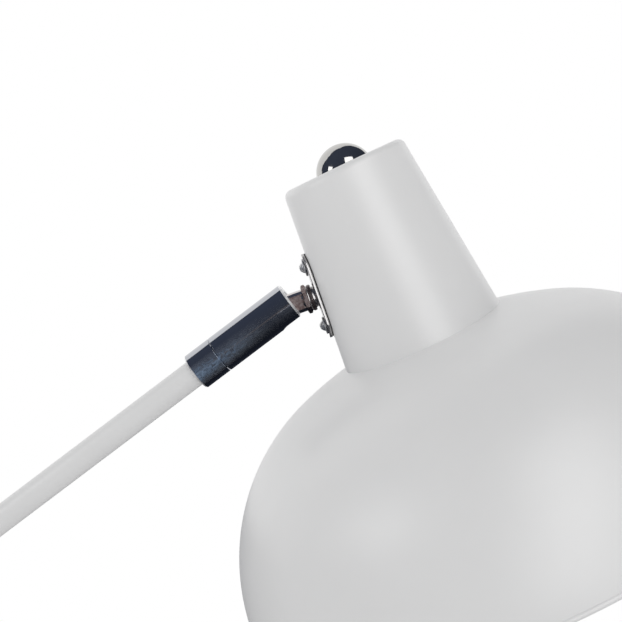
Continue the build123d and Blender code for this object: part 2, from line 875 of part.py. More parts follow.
with BuildPart() as nipple:
    with BuildSketch(head_frame.offset(nipple_bottom)):
        Circle(nipple_radius)
        Circle(nipple_bore, mode=Mode.SUBTRACT)
    extrude(amount=neck_height + finial_thread - nipple_bottom)
save(nipple, "nipple")

# Shade
flat_turn = degrees(atan2(flat_radius, flat_top - crown_centre))


def shade_curve(inset):
    """Draw the crown and shoulder arcs, an inset inside the outer face, from the flat to the rim."""
    CenterArc((0, crown_centre), crown_radius - inset, 90 - crown_angle, crown_angle - flat_turn)
    CenterArc((shoulder_out, shoulder_height), shoulder_radius - inset, 0, 90 - crown_angle)


inner_crown = crown_radius - shade_sheet
flat_inner_turn = radians(flat_turn)
flat_inner_point = (inner_crown * sin(flat_inner_turn), crown_centre + inner_crown * cos(flat_inner_turn))
shade_hole = skirt_radius + shade_hole_gap

with BuildPart() as shade:
    with BuildSketch(head_side):
        with BuildLine():
            shade_curve(0)
            shade_curve(shade_sheet)
            Line((shade_rim_radius, shoulder_height), (shade_rim_radius - shade_sheet, shoulder_height))
            Polyline(
                (flat_radius, flat_top),
                (shade_hole, flat_top),
                (shade_hole, flat_under),
                (flat_inner_point[0], flat_under),
                flat_inner_point,
            )
        make_face()
        with Locations((shade_rim_radius - shade_sheet / 2, shoulder_height)):
            Circle(bead_radius)
    revolve(axis=head_axis)
save(shade, "shade")

with BuildPart() as shade_ring:
    with BuildSketch(head_frame.offset(flat_under - shade_ring_height)):
        Circle(shade_ring_radius)
        Circle(skirt_radius + thread_gap, mode=Mode.SUBTRACT)
    extrude(amount=shade_ring_height)
    ring_edges = shade_ring.edges().filter_by(GeomType.CIRCLE).sort_by(SortBy.RADIUS)[-2:]
    chamfer(ring_edges.sort_by(head_axis)[0], length=shade_ring_edge)
save(shade_ring, "shade_ring")

# Lampholder
with BuildPart() as holder_skirt:
    with BuildSketch(head_side):
        with BuildLine():
            Polyline(
                (skirt_radius, skirt_bottom),
                (skirt_radius, flat_top),
                (skirt_flange, flat_top),
                (skirt_flange, body_bottom),
                (body_radius, body_bottom),
                (body_radius, body_top),
                (cap_inner, body_top),
                (cap_inner, insert_bottom),
                (cap_inner - ledge_width, insert_bottom),
                (cap_inner - ledge_width, ledge_bottom),
                (skirt_inner, ledge_bottom),
                (skirt_inner, skirt_bottom),
                close=True,
            )
        make_face()
    revolve(axis=head_axis)
save(holder_skirt, "holder_skirt")

with BuildPart() as holder_insert:
    with BuildSketch(head_frame.offset(insert_bottom)):
        Circle(cap_inner - insert_gap)
    extrude(amount=insert_thickness)
save(holder_insert, "holder_insert")

stem_tip_out = head_frame.to_local_coords(ball_centre + stem_way * stem_tip).X
lead_end_out = cap_inner - lead_radius
head_lead_length = (stem_tip_out - lead_end_out) / cos(radians(half_angle))
lead_hole = lead_radius + motion_gap

with BuildPart() as holder_cap:
    with BuildSketch(head_side) as cap_profile:
        with BuildLine():
            Polyline(
                (body_radius, body_top),
                (body_radius, cap_top),
                (nipple_radius + thread_gap, cap_top),
                (nipple_radius + thread_gap, cap_top - cap_wall),
                (cap_inner, cap_top - cap_wall),
                (cap_inner, body_top),
                close=True,
            )
        make_face()
        cap_corners = cap_profile.vertices().group_by(Axis.Y)
        fillet(cap_corners[-1].sort_by(Axis.X)[-1], radius=cap_fillet)
        fillet(cap_corners[-2].sort_by(Axis.X)[-1], radius=cap_fillet - cap_wall)
    revolve(axis=head_axis)
    with BuildSketch(stem_frame.offset(stem_tip)):
        Circle(lead_hole)
    extrude(amount=head_lead_length + lead_radius, mode=Mode.SUBTRACT)
save(holder_cap, "holder_cap")

with BuildPart() as head_lead:
    with BuildSketch(stem_frame.offset(stem_tip + motion_gap)):
        Circle(lead_radius)
    extrude(amount=head_lead_length)
save(head_lead, "head_lead")

with BuildPart() as thread_shell:
    with BuildSketch(head_frame.offset(insert_bottom)):
        Circle(shell_radius)
    extrude(amount=-shell_length)
    with BuildSketch(head_frame.offset(insert_bottom - shell_sheet)):
        Circle(shell_radius - shell_sheet)
    extrude(amount=-shell_length, mode=Mode.SUBTRACT)
    with BuildSketch(head_frame.offset(insert_bottom)):
        Circle(contact_radius + contact_hole_gap)
    extrude(amount=-shell_length, mode=Mode.SUBTRACT)
save(thread_shell, "thread_shell")

with BuildPart() as centre_contact:
    with BuildSketch(head_frame.offset(contact_under)):
        Circle(contact_radius)
    extrude(amount=contact_thickness)
save(centre_contact, "centre_contact")

# Bulb
with BuildPart() as bulb_cap:
    with BuildSketch(head_side):
        with BuildLine():
            Polyline(
                (0, contact_under),
                (bulb_tip_radius, contact_under),
                (bulb_tip_radius, bulb_shoulder),
                (bulb_cap_radius, bulb_shoulder - bulb_taper),
                (bulb_cap_radius, bulb_cap_bottom),
                (bulb_cap_radius - bulb_cap_wall, bulb_cap_bottom),
                (bulb_cap_radius - bulb_cap_wall, bulb_shoulder - bulb_taper),
                (0, bulb_shoulder - bulb_taper),
                close=True,
            )
        make_face()
    revolve(axis=head_axis)
save(bulb_cap, "bulb_cap")

globe_centre = bulb_cap_bottom - globe_drop
glass_top = bulb_cap_bottom + glass_seat
glass_neck = bulb_cap_radius - bulb_cap_wall - glass_gap


def glass_curve(inset):
    """Draw one face of the glass, from inside the cap down its neck and round the globe to the axis."""
    neck_out = glass_neck - inset
    globe = globe_radius - inset
    neck_slant = sqrt(neck_out**2 + globe_drop**2)
    meet = degrees(atan2(neck_out, globe_drop) + acos(globe / neck_slant))
    meet_point = (globe * sin(radians(meet)), globe_centre + globe * cos(radians(meet)))
    Polyline((neck_out, glass_top), (neck_out, bulb_cap_bottom), meet_point)
    CenterArc((0, globe_centre), globe, -90, 180 - meet)


with BuildPart() as bulb_glass:
    with BuildSketch(head_side):
        with BuildLine():
            glass_curve(0)
            glass_curve(glass_wall)
            Line((glass_neck, glass_top), (glass_neck - glass_wall, glass_top))
            Line((0, globe_centre - globe_radius), (0, globe_centre - globe_radius + glass_wall))
        make_face()
    revolve(axis=head_axis)
save(bulb_glass, "bulb_glass")
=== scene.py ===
"""Looks of a white arc floor lamp: a weighted base, a bent arm and a dome head on a polished ball joint."""

import json
from math import acos, atan2, cos, degrees, pi, radians, sin, sqrt, tan

import bmesh
import bpy
from mathutils import Matrix, Vector


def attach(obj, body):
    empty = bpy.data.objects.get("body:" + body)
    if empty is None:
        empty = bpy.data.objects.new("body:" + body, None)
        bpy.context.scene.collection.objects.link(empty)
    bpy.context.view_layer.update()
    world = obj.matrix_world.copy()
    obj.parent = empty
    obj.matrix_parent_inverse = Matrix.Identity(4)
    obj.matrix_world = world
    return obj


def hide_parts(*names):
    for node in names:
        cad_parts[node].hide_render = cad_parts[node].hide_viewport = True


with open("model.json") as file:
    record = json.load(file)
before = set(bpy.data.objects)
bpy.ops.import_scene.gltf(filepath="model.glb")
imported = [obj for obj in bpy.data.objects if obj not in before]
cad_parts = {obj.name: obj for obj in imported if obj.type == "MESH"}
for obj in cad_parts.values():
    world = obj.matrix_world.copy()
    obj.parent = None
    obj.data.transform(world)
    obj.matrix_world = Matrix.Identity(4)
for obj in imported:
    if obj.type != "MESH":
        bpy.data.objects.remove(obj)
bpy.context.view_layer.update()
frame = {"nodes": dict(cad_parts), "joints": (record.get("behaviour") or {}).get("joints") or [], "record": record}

bl_info = {
    "name": "Arc Floor Lamp",
    "version": (1, 0, 0),
    "blender": (4, 5, 0),
    "location": "View3D > Sidebar > Lamp",
    "description": "Builds the visible pieces of an arc floor lamp round its packed frame",
    "category": "Object",
}

MM = 0.001
TINY = 1e-7
SMOOTH_ANGLE = radians(32)
# Clearance of a part in its hole, and how far a tool runs past the face that it cuts or joins.
FIT = 0.05 * MM
PAST = 1 * MM
# Roundings of edges, from one that just catches the light to a soft one.
KEEN_EDGE = 0.1 * MM
FINE_EDGE = 0.2 * MM
PLAIN_EDGE = 0.3 * MM
SOFT_EDGE = 0.4 * MM

JOINTS = {joint["name"]: joint for joint in frame["joints"]}
SLOTS = {part["node"]: part["material_slot"] for part in frame["record"]["subparts"]}
BALL = Vector(JOINTS["head_tilt"]["pos_m"])
ARM_WAY = Vector(JOINTS["sleeve_swivel"]["axis"]).normalized()
STEM_WAY = Vector(JOINTS["head_roll"]["axis"]).normalized()
FLOOR_UP = Vector((0, 0, 1))


def below(way):
    """The direction square to one in the lamp's plane, on its lower side."""
    return Vector((way.z, 0, -way.x))


def frame_at(origin, x_way, z_way):
    """Matrix of a frame from its origin, its x direction and its z direction."""
    z = z_way.normalized()
    y = z.cross(x_way).normalized()
    turn = Matrix((y.cross(z), y, z)).transposed()
    return Matrix.Translation(origin) @ turn.to_4x4()


ARM = frame_at(BALL, below(ARM_WAY), ARM_WAY)
STEM = frame_at(BALL, below(STEM_WAY), STEM_WAY)
STAND = Matrix.Identity(4)


def length(name, description, millimetres):
    """A length property, kept in metres."""
    return bpy.props.FloatProperty(
        name=name, description=description, default=millimetres * MM, min=0, precision=4, unit="LENGTH"
    )


def angle(name, description, turn):
    """An angle property, from degrees."""
    return bpy.props.FloatProperty(
        name=name, description=description, default=radians(turn), unit="ROTATION"
    )


def colour(name, description, value):
    """A colour property, in linear light."""
    return bpy.props.FloatVectorProperty(
        name=name, description=description, default=value, min=0, max=1, size=3, subtype="COLOR"
    )


def share(name, description, value):
    """A factor between 0 and 1."""
    return bpy.props.FloatProperty(
        name=name, description=description, default=value, min=0, max=1, subtype="FACTOR"
    )


def amount(name, description, value, unit="NONE"):
    """A strength, a power or another number that isn't negative."""
    return bpy.props.FloatProperty(name=name, description=description, default=value, min=0, unit=unit)


def vector(name, description, value, subtype):
    """A place or a direction."""
    return bpy.props.FloatVectorProperty(
        name=name, description=description, default=value, size=3, subtype=subtype
    )


class LampStandSizes(bpy.types.PropertyGroup):
    """Sizes of the base, the pole and the swivel on its top."""

    pad_radius: length("Pad radius", "Rubber pad under the base", 138)
    pad_thickness: length("Pad thickness", "Height of the rubber pad", 3)
    base_radius: length("Base radius", "Outside of the base cover", 150)
    base_top: length("Base top", "Height of the base cover over the floor", 26.2)
    base_edge: length("Base edge", "Rounding of the base's upper edge", 8)
    cover_hem: length("Cover hem", "Height of the cover's lower edge over the floor", 1.5)
    sheet: length("Sheet", "Thickness of the painted sheet metal", 1.2)
    bolt_hole: length("Bolt hole", "Radius of the hole in the cover's middle", 5.05)
    pole_radius: length("Pole radius", "Outside of the pole", 11)
    pole_wall: length("Pole wall", "Wall of the pole", 1.5)
    section: length("Section", "Length of one pole section", 430)
    collar_radius: length("Foot collar radius", "Outside of the collar at the pole's foot", 18)
    collar_height: length("Foot collar height", "Height of the collar at the pole's foot", 48)
    collar_edge: length("Foot collar edge", "Rounding of the foot collar's upper edge", 3)
    gland_height: length("Gland height", "Height of the lead's gland over the base cover", 36)
    gland_bore: length("Gland bore", "Radius of the gland's hole", 3.1)
    gland_body: length("Gland body", "Radius of the gland's body", 4.7)
    gland_flange: length("Gland flange", "Radius of the gland's flange", 7.5)
    gland_thickness: length("Gland thickness", "Thickness of the gland's flange", 3)
    bush_depth: length("Bush depth", "Length of the swivel bush inside the pole", 45)
    bush_flange: length("Bush flange", "Height of the bush's flange", 4)
    stop_radius: length("Stop collar radius", "Outside of the collar on the arc's foot", 11)
    stop_height: length("Stop collar height", "Height of the collar on the arc's foot", 12)
    stop_edge: length("Stop collar edge", "Chamfer of that collar", 0.8)
    grub_radius: length("Grub screw radius", "Hole of that collar's screw", 2.05)


class LampArcSizes(bpy.types.PropertyGroup):
    """Sizes of the bent arm."""

    tube_radius: length("Tube radius", "Outside of the bent tube", 7.5)
    tube_wall: length("Tube wall", "Wall of the bent tube", 1.5)
    riser: length("Riser", "Straight tube over the pole's bush", 105)
    bend_radius: length("Bend radius", "Radius of the arc", 420)


class LampJointSizes(bpy.types.PropertyGroup):
    """Sizes of the polished sleeve, the stem and the plate on the neck."""

    sleeve_radius: length("Sleeve radius", "Outside of the polished sleeve", 10.6)
    sleeve_length: length("Sleeve length", "Slotted front half of the sleeve", 48.8)
    sleeve_edge: length("Sleeve edge", "Chamfer at the collar's rear end", 0.8)
    mouth_edge: length("Mouth edge", "Chamfer at the sleeve's mouth", 1.1)
    sleeve_bore: length("Sleeve bore", "Inside of the sleeve", 8.05)
    collar_length: length("Collar length", "Rear collar of the sleeve", 16.3)
    tube_depth: length("Tube depth", "Tube inside the collar", 13)
    groove: length("Groove", "Gap between the collar and the sleeve", 0.4)
    spigot: length("Spigot", "Length of the collar's spigot in the sleeve", 18)
    mouth: length("Mouth", "From the ball's centre to the sleeve's mouth", 7.6)
    lip: length("Lip", "From the ball's centre to the back of the mouth's lip", 4.9)
    lip_radius: length("Lip radius", "Hole in the mouth", 6.4)
    slot_length: length("Slot length", "Slot on the sleeve's underside", 13.3)
    slot_width: length("Slot width", "Width of that slot", 8.8)
    ball_radius: length("Ball radius", "Ball at the stem's end", 8)
    tongue_radius: length("Tongue radius", "Half the height of the stem's flat tongue", 6.1)
    tongue_thickness: length("Tongue thickness", "Thickness of the stem's flat tongue", 8.2)
    tongue_edge: length("Tongue edge", "Chamfer along the tongue's flats", 1.0)
    tongue_end: length("Tongue end", "From the ball's centre to the lock nut", 14.2)
    journal: length("Journal", "Radius of the stem's thread", 5)
    stem_bore: length("Stem bore", "Radius of the hole for the lead", 3)
    stem_tip: length("Stem tip", "From the ball's centre to the stem's end", 33.05)
    nut_across: length("Nut across", "Across the lock nut's flats", 14)
    nut_height: length("Nut height", "Height of the lock nut", 2.6)
    washer_radius: length("Washer radius", "Dark washer behind the lock nut", 7.3)
    washer_thickness: length("Washer thickness", "Thickness of that washer and its bright lip", 2.55)
    lip_thickness: length("Lip thickness", "Bright lip between the nut and the washer", 0.45)
    boss_radius: length("Boss radius", "Bright boss between the washer and the plate", 5.9)
    boss_height: length("Boss height", "Height of that boss", 1.1)
    plate_front: length("Plate front", "From the ball's centre to the plate", 20.55)
    plate_thickness: length("Plate thickness", "Thickness of the plate", 1.5)
    plate_length: length("Plate length", "Length of the plate along the neck", 48)
    plate_width: length("Plate width", "Width of the plate", 18)
    plate_edge: length("Plate edge", "Rounding of the plate's edges", 0.3)
    plate_bend: length("Plate bend", "Radius that the plate is bent to, round the neck", 43.2)
    gasket: length("Gasket", "Thickness of the gasket behind the plate", 0.7)
    screw_spacing: length("Screw spacing", "Between the plate's two screws", 33.4)
    screw_radius: length("Screw radius", "Shank of the plate's screws", 2)
    screw_flange: length("Screw flange", "Washer face of the screw heads", 4.9)
    screw_crown: length("Screw crown", "Radius of the screw heads' crown", 3.1)
    screw_rise: length("Screw rise", "Height of that crown", 2.6)
    screw_end: length("Screw end", "From the ball's centre to the screws' ends", 30.15)


class LampHeadSizes(bpy.types.PropertyGroup):
    """Sizes of the neck, the finial, the dome and the lampholder."""

    neck_face: length("Neck face", "From the ball's centre to the neck's side", 22.75)
    plate_height: length("Plate height", "From the neck's rim to the stem, along the neck's side", 44.25)
    neck_bottom: length("Neck bottom", "Radius of the neck at its rim", 45.45)
    neck_top: length("Neck top", "Radius of the neck at its top", 35.05)
    neck_height: length("Neck height", "From the neck's rim to its top", 101.85)
    neck_wall: length("Neck wall", "Sheet of the neck", 1.2)
    neck_edge: length("Neck edge", "Rounding of the neck's upper edge", 4.1)
    neck_hole: length("Neck hole", "Hole for the nipple", 5.05)
    finial_radius: length("Finial radius", "Radius of the polished cap nut at its foot", 15.25)
    finial_height: length("Finial height", "Height of the polished cap nut", 11.6)
    finial_thread: length("Finial thread", "Depth of the cap nut's thread", 7.5)
    crown_radius: length("Crown radius", "Curve of the dome's top", 231)
    crown_angle: angle("Crown angle", "Half angle of the dome's top before the shoulder", 20)
    shoulder_radius: length("Shoulder radius", "Curve of the dome's shoulder", 113.2)
    flat_radius: length("Flat radius", "Flat in the dome's middle, under the neck", 30)
    bead_radius: length("Bead radius", "Rolled edge of the dome", 1.5)
    skirt_radius: length("Skirt radius", "Thread of the lampholder", 19.9)
    skirt_inner: length("Skirt inside", "Inside of the lampholder's skirt", 17.7)
    skirt_below: length("Skirt drop", "Lampholder under the dome's flat", 16)
    skirt_flange: length("Skirt flange", "Flange over the dome's flat", 25)
    skirt_flange_height: length("Flange height", "Thickness of that flange", 3)
    body_radius: length("Body radius", "Lampholder over the flange", 19)
    body_height: length("Body height", "Height of the lampholder over the flange", 20)
    body_inner: length("Body inside", "Inside of the lampholder over the flange", 17.2)
    ring_radius: length("Ring radius", "Outside of the ring that clamps the dome", 28)
    ring_height: length("Ring height", "Height of that ring", 8)
    cap_radius: length("Bulb cap radius", "Radius of the bulb's screw cap", 13.1)
    cap_top: length("Bulb cap top", "From the neck's rim to the bulb's contact", 12.12)
    cap_length: length("Bulb cap length", "Length of the bulb's screw cap", 25)
    tip_radius: length("Bulb contact radius", "Contact at the bulb's top", 4.5)
    tip_height: length("Bulb contact height", "Height of that contact", 2.5)
    cap_slope: length("Bulb insulator", "Slope round the bulb's contact", 4.6)
    glass_neck: length("Glass neck", "Radius of the bulb's glass in its cap", 12.2)
    glass_seat: length("Glass seat", "Glass inside the cap", 4)
    glass_wall: length("Glass wall", "Thickness of the bulb's glass", 1)
    globe_radius: length("Globe radius", "Radius of the bulb's globe", 30)
    globe_drop: length("Globe drop", "From the cap's lower edge to the globe's centre", 54)


class LampFinishes(bpy.types.PropertyGroup):
    """Colours and gloss of the lamp's surfaces."""

    paint: colour("Paint", "White powder coat", (0.88, 0.88, 0.882))
    paint_roughness: share("Paint roughness", "Gloss of the powder coat", 0.35)
    chrome: colour("Sleeve chrome", "Chrome of the sleeve, under its film", (0.50, 0.51, 0.54))
    cap_chrome: colour("Cap chrome", "Chrome of the cap nut and the swivel", (0.53, 0.522, 0.508))
    chrome_roughness: share("Chrome roughness", "Gloss of the chrome where it is clean", 0.05)
    # Tint of the hand film, which also paints a soft reflection band along the sleeve's sides.
    film_and_sheen: colour("Film", "Bluish film on the chrome where hands turn it", (0.29, 0.39, 0.54))
    nickel: colour("Nickel", "Nickel plate on the stem and its nut", (0.64, 0.60, 0.59))
    # Painted reflection: a warm brown on the tongue's flats and all over the lock nut.
    warm_reflection: colour("Stain", "Warm stain on that nickel", (0.17, 0.122, 0.118))
    bright_nickel: colour("Bright nickel", "Neck's plate, boss and washer lip", (0.52, 0.51, 0.51))
    # Near-white: on the sleeve's end rings a painted highlight; darker, the screws' own satin finish.
    satin_and_highlight: colour("Satin nickel", "Rings at the sleeve's ends and, darker, the screws", (0.93, 0.93, 0.94))
    # Near-black washer, its darkness partly painted shade between the nut and the plate.
    dark_plate: colour("Dark plate", "Blackened washer", (0.16, 0.13, 0.13))
    zinc: colour("Zinc", "Zinc-plated steel", (0.58, 0.58, 0.57))
    iron: colour("Iron", "Raw casting of the weight", (0.12, 0.12, 0.12))
    rubber: colour("Rubber", "Pad, gasket and gland", (0.035, 0.035, 0.037))
    plastic: colour("Plastic", "Moulded lampholder", (0.78, 0.78, 0.77))
    cable: colour("Cable", "Sheath of the lead", (0.74, 0.74, 0.73))
    brass: colour("Brass", "Contacts and thread shell", (0.72, 0.55, 0.26))
    opal: colour("Opal glass", "Bulb", (0.93, 0.93, 0.91))


class LampStage(bpy.types.PropertyGroup):
    """Camera, lights and floor."""

    lens: amount("Lens", "Focal length of the camera", 69.45, "CAMERA")
    camera_pitch: angle("Camera pitch", "How far the camera looks down", 5.5)
    camera_place: vector(
        "Camera place", "Where the camera stands", (0.53797, -0.64965, 1.65991), "TRANSLATION"
    )
    ambient: amount("Ambient", "Strength of the room's light on matt surfaces", 0.828)
    slope: vector(
        "Ambient slope",
        "How much stronger that light is towards the right, the back and the top",
        (0.045, 0.11, -0.225),
        "DIRECTION",
    )
    key_power: amount("Key power", "Power of the large softbox", 2.0, "POWER")
    side_power: amount("Side power", "Power of the softbox on the pole's side", 1.5, "POWER")
    panel_glow: amount("Panel glow", "Brightness of the softboxes in glossy surfaces", 2.1)
    panel: colour("Panel", "Colour of the softboxes in glossy surfaces", (1.0, 1.0, 1.0))
    warm: colour("Warm strip", "Dim warm sheet by the camera in glossy surfaces", (0.11, 0.092, 0.092))
    floor: colour("Floor", "Pale floor", (0.86, 0.86, 0.855))
    floor_radius: length("Floor radius", "Where the floor has faded out", 3000)
    screen_slope: share("Screen slope", "How much brighter the screen is towards its upper left", 0.65)
    screen: colour("Screen", "Dark studio screen that polished metal reflects", (0.034, 0.041, 0.061))


SETTINGS = {
    "lamp_stand": LampStandSizes,
    "lamp_arc": LampArcSizes,
    "lamp_joint": LampJointSizes,
    "lamp_head": LampHeadSizes,
    "lamp_finishes": LampFinishes,
    "lamp_stage": LampStage,
}


def rounded(corners, closed=True, steps=5):
    """Points of an outline, from corners of (radius, height) or (radius, height, rounding)."""
    points = []
    count = len(corners)
    for number, corner in enumerate(corners):
        here = Vector(corner[:2])
        is_end = not closed and number in (0, count - 1)
        if len(corner) < 3 or is_end:
            points.append(tuple(here))
            continue
        back = (Vector(corners[number - 1][:2]) - here).normalized()
        on = (Vector(corners[(number + 1) % count][:2]) - here).normalized()
        half = acos(max(-1, min(1, back.dot(on)))) / 2
        middle = here + (back + on).normalized() * corner[2] / sin(half)
        start = here + back * corner[2] / tan(half) - middle
        turn = pi - 2 * half
        if back.x * on.y - back.y * on.x > 0:
            turn = -turn
        for step in range(steps + 1):
            spin = Matrix.Rotation(turn * step / steps, 2)
            points.append(tuple(middle + spin @ start))
    return points


def around(count):
    """Angles spread evenly round a circle."""
    return [2 * pi * number / count for number in range(count)]


def arc(centre, radius, start, end, steps):
    """Points on a circle from one angle to another."""
    sweep = (end - start) / steps
    turns = [start + sweep * step for step in range(steps + 1)]
    return [(centre[0] + radius * cos(turn), centre[1] + radius * sin(turn)) for turn in turns]


def stadium(full, width, steps=24):
    """Outline of a bar with round ends, along x."""
    ends = full / 2 - width / 2
    right = arc((ends, 0), width / 2, -pi / 2, pi / 2, steps)
    left = arc((-ends, 0), width / 2, pi / 2, 3 * pi / 2, steps)
    return right + left


def oblong(wide, tall):
    """Outline of a rectangle round the origin."""
    x, y = wide / 2, tall / 2
    return [(-x, -y), (x, -y), (x, y), (-x, y)]


def hexagon(across):
    """Outline of a hexagon from its width across flats, with a corner on x."""
    corner = across / 2 / cos(pi / 6)
    return [(corner * cos(turn), corner * sin(turn)) for turn in around(6)]


def supported(points, closed=True, reach=0.25 * MM):
    """The outline with a point close to both ends of each long run, so that the run shades as straight."""
    kept = []
    runs = zip(points, points[1:] + points[:1]) if closed else zip(points, points[1:])
    for start, end in runs:
        start, end = Vector(start), Vector(end)
        kept.append(tuple(start))
        run = end - start
        if run.length > 4 * reach:
            step = run.normalized() * reach
            kept += [tuple(start + step), tuple(end - step)]
    return kept if closed else kept + [points[-1]]


def smooth(mesh):
    """Shade a mesh smooth, with its real edges kept sharp."""
    mesh.polygons.foreach_set("use_smooth", [True] * len(mesh.polygons))
    mesh.set_sharp_from_angle(angle=SMOOTH_ANGLE)


def to_object(name, shape, place):
    """Turn a finished bmesh into an object that stands at a frame."""
    bmesh.ops.remove_doubles(shape, verts=shape.verts, dist=TINY)
    bmesh.ops.recalc_face_normals(shape, faces=shape.faces)
    mesh = bpy.data.meshes.new(name)
    shape.to_mesh(mesh)
    shape.free()
    smooth(mesh)
    piece = bpy.data.objects.new(name, mesh)
    bpy.context.scene.collection.objects.link(piece)
    piece.matrix_world = place
    return piece


def skin(shape, rings, closed=False):
    """Faces from each ring of points to the next and, where closed, from the last to the first."""
    nexts = rings[1:] + rings[:1] if closed else rings[1:]
    for low, high in zip(rings, nexts):
        for number, corner in enumerate(low):
            after = (number + 1) % len(low)
            corners = dict.fromkeys((corner, low[after], high[after], high[number]))
            if len(corners) > 2:
                shape.faces.new(list(corners))


def turned(name, outline, place=STAND, segments=128, closed=True):
    """Turn an outline of (radius, height) points about a frame's axis."""
    shape = bmesh.new()
    rings = []
    turns = around(segments)
    for radius, height in outline:
        if radius < TINY:
            rings.append([shape.verts.new((0, 0, height))] * segments)
        else:
            rings.append([shape.verts.new((radius * cos(a), radius * sin(a), height)) for a in turns])
    skin(shape, rings, closed)
    return to_object(name, shape, place)


def lathe(name, corners, place=STAND, segments=128, steps=5):
    """Turn a closed outline of corners, with their roundings, about a frame's axis."""
    return turned(name, supported(rounded(corners, steps=steps)), place, segments)


def rod(radius, low, high, place, segments=64):
    """A plain cutter."""
    outline = [(0, low), (radius, low), (radius, high), (0, high)]
    return turned("cutter", outline, place, segments, closed=False)


def slab(name, outline, low, high, place):
    """A prism over an outline of (x, y) points."""
    shape = bmesh.new()
    floor = shape.faces.new([shape.verts.new((x, y, low)) for x, y in outline])
    raised = bmesh.ops.extrude_face_region(shape, geom=[floor])["geom"]
    corners = [part for part in raised if isinstance(part, bmesh.types.BMVert)]
    bmesh.ops.translate(shape, verts=corners, vec=(0, 0, high - low))
    return to_object(name, shape, place)


def carve(piece, tool, operation="DIFFERENCE"):
    """Cut a piece with a tool, join the two or keep what they share, and take the tool away."""
    change = piece.modifiers.new("carve", "BOOLEAN")
    change.operation = operation
    change.solver = "EXACT"
    change.object = tool
    bpy.context.view_layer.update()
    result = bpy.data.meshes.new_from_object(piece.evaluated_get(bpy.context.evaluated_depsgraph_get()))
    piece.modifiers.clear()
    piece.data = result
    result.name = piece.name
    smooth(result)
    bpy.data.objects.remove(tool)


def wear(piece, body, slot, *nodes, look=None):
    """Dress a finished piece: its finish, the body that carries it and the nodes that it stands for."""
    piece.data.materials.clear()
    piece.data.materials.append(finish(look or slot))
    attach(piece, body)
    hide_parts(*nodes)


class Finish:
    """A material whose nodes are added one at a time."""

    def __init__(self, name, base, metallic=0.0):
        self.material = bpy.data.materials.new(name)
        self.material.use_nodes = True
        self.tree = self.material.node_tree
        self.shader = self.tree.nodes["Principled BSDF"]
        self.base = tuple(base)
        self.place = self.tree.nodes.new("ShaderNodeTexCoord").outputs["Object"]
        self.put("Base Color", (*base, 1))
        self.put("Metallic", metallic)

    def put(self, socket, value):
        """Set one of the shader's own sockets."""
        self.shader.inputs[socket].default_value = value

    def drive(self, socket, value):
        """Let a node's output set one of the shader's sockets."""
        self.tree.links.new(value, self.shader.inputs[socket])

    def noise(self, scale, detail, along=1, distortion=0.0, roughness=0.55):
        """Noise in the piece's own space, in grains for each metre, and drawn out along its axis."""
        mapping = self.tree.nodes.new("ShaderNodeMapping")
        mapping.inputs["Scale"].default_value = (1, 1, along)
        self.tree.links.new(self.place, mapping.inputs["Vector"])
        texture = self.tree.nodes.new("ShaderNodeTexNoise")
        texture.inputs["Scale"].default_value = scale
        texture.inputs["Detail"].default_value = detail
        texture.inputs["Roughness"].default_value = roughness
        texture.inputs["Distortion"].default_value = distortion
        self.tree.links.new(mapping.outputs["Vector"], texture.inputs["Vector"])
        return texture.outputs["Fac"]

    def spread(self, value, low, high, start=0.3, end=0.7):
        """Map a value from a range of its own onto another range."""
        node = self.tree.nodes.new("ShaderNodeMapRange")
        node.clamp = True
        for socket, number in zip(("From Min", "From Max", "To Min", "To Max"), (start, end, low, high)):
            node.inputs[socket].default_value = number
        self.tree.links.new(value, node.inputs["Value"])
        return node.outputs["Result"]

    def combine(self, operation, first, second):
        """Two values put together."""
        node = self.tree.nodes.new("ShaderNodeMath")
        node.operation = operation
        self.tree.links.new(first, node.inputs[0])
        self.tree.links.new(second, node.inputs[1])
        return node.outputs[0]

    def axes(self, vector):
        """The x, y and z of a vector."""
        node = self.tree.nodes.new("ShaderNodeSeparateXYZ")
        self.tree.links.new(vector, node.inputs["Vector"])
        return node.outputs

    def tint(self, factor, other):
        """Shade the base colour towards another one by a factor."""
        mix = self.tree.nodes.new("ShaderNodeMix")
        mix.data_type = "RGBA"
        mix.inputs["A"].default_value = (*self.base, 1)
        mix.inputs["B"].default_value = (*other, 1)
        self.tree.links.new(factor, mix.inputs["Factor"])
        self.drive("Base Color", mix.outputs["Result"])

    def patches(self, shade, scale, detail, start=0.3, end=0.7):
        """Patches of another shade, where a noise is high."""
        self.tint(self.spread(self.noise(scale, detail), 0, 1, start, end), shade)

    def gloss(self, smoothest, roughest, scale, detail):
        """A roughness that varies with a noise."""
        self.drive("Roughness", self.spread(self.noise(scale, detail), smoothest, roughest))

    def grain(self, strength, height, scale, detail, along=1):
        """A grain that stands up from the surface."""
        node = self.tree.nodes.new("ShaderNodeBump")
        node.inputs["Strength"].default_value = strength
        node.inputs["Distance"].default_value = height
        self.tree.links.new(self.noise(scale, detail, along), node.inputs["Height"])
        self.drive("Normal", node.outputs["Normal"])


def darker(base, by):
    """A darker shade of a colour."""
    return tuple(channel * by for channel in base)


def make_white_paint(colours):
    """Satin powder coat: a fine orange peel and a faint cloudiness."""
    made = Finish("white_powder_coat", colours.paint)
    made.patches(darker(colours.paint, 0.965), 14, 4)
    middle = colours.paint_roughness
    made.gloss(middle - 0.04, middle + 0.05, 420, 3)
    made.grain(0.10, 0.12 * MM, 1150, 2)
    made.put("IOR", 1.5)
    return made.material


def polished(name, base, colours):
    """Polished plate with hairlines along it and faint smudges."""
    made = Finish(name, base, 1.0)
    smudge = made.noise(85, 6, along=0.6, distortion=0.6, roughness=0.62)
    hairline = made.noise(2600, 2, along=0.012)
    dulled = made.spread(smudge, 0, 0.08, 0.50, 0.72)
    scratched = made.spread(hairline, colours.chrome_roughness, 0.09, 0.58, 0.78)
    made.drive("Roughness", made.combine("ADD", dulled, scratched))
    made.grain(0.02, 0.01 * MM, 1900, 2, along=0.02)
    return made


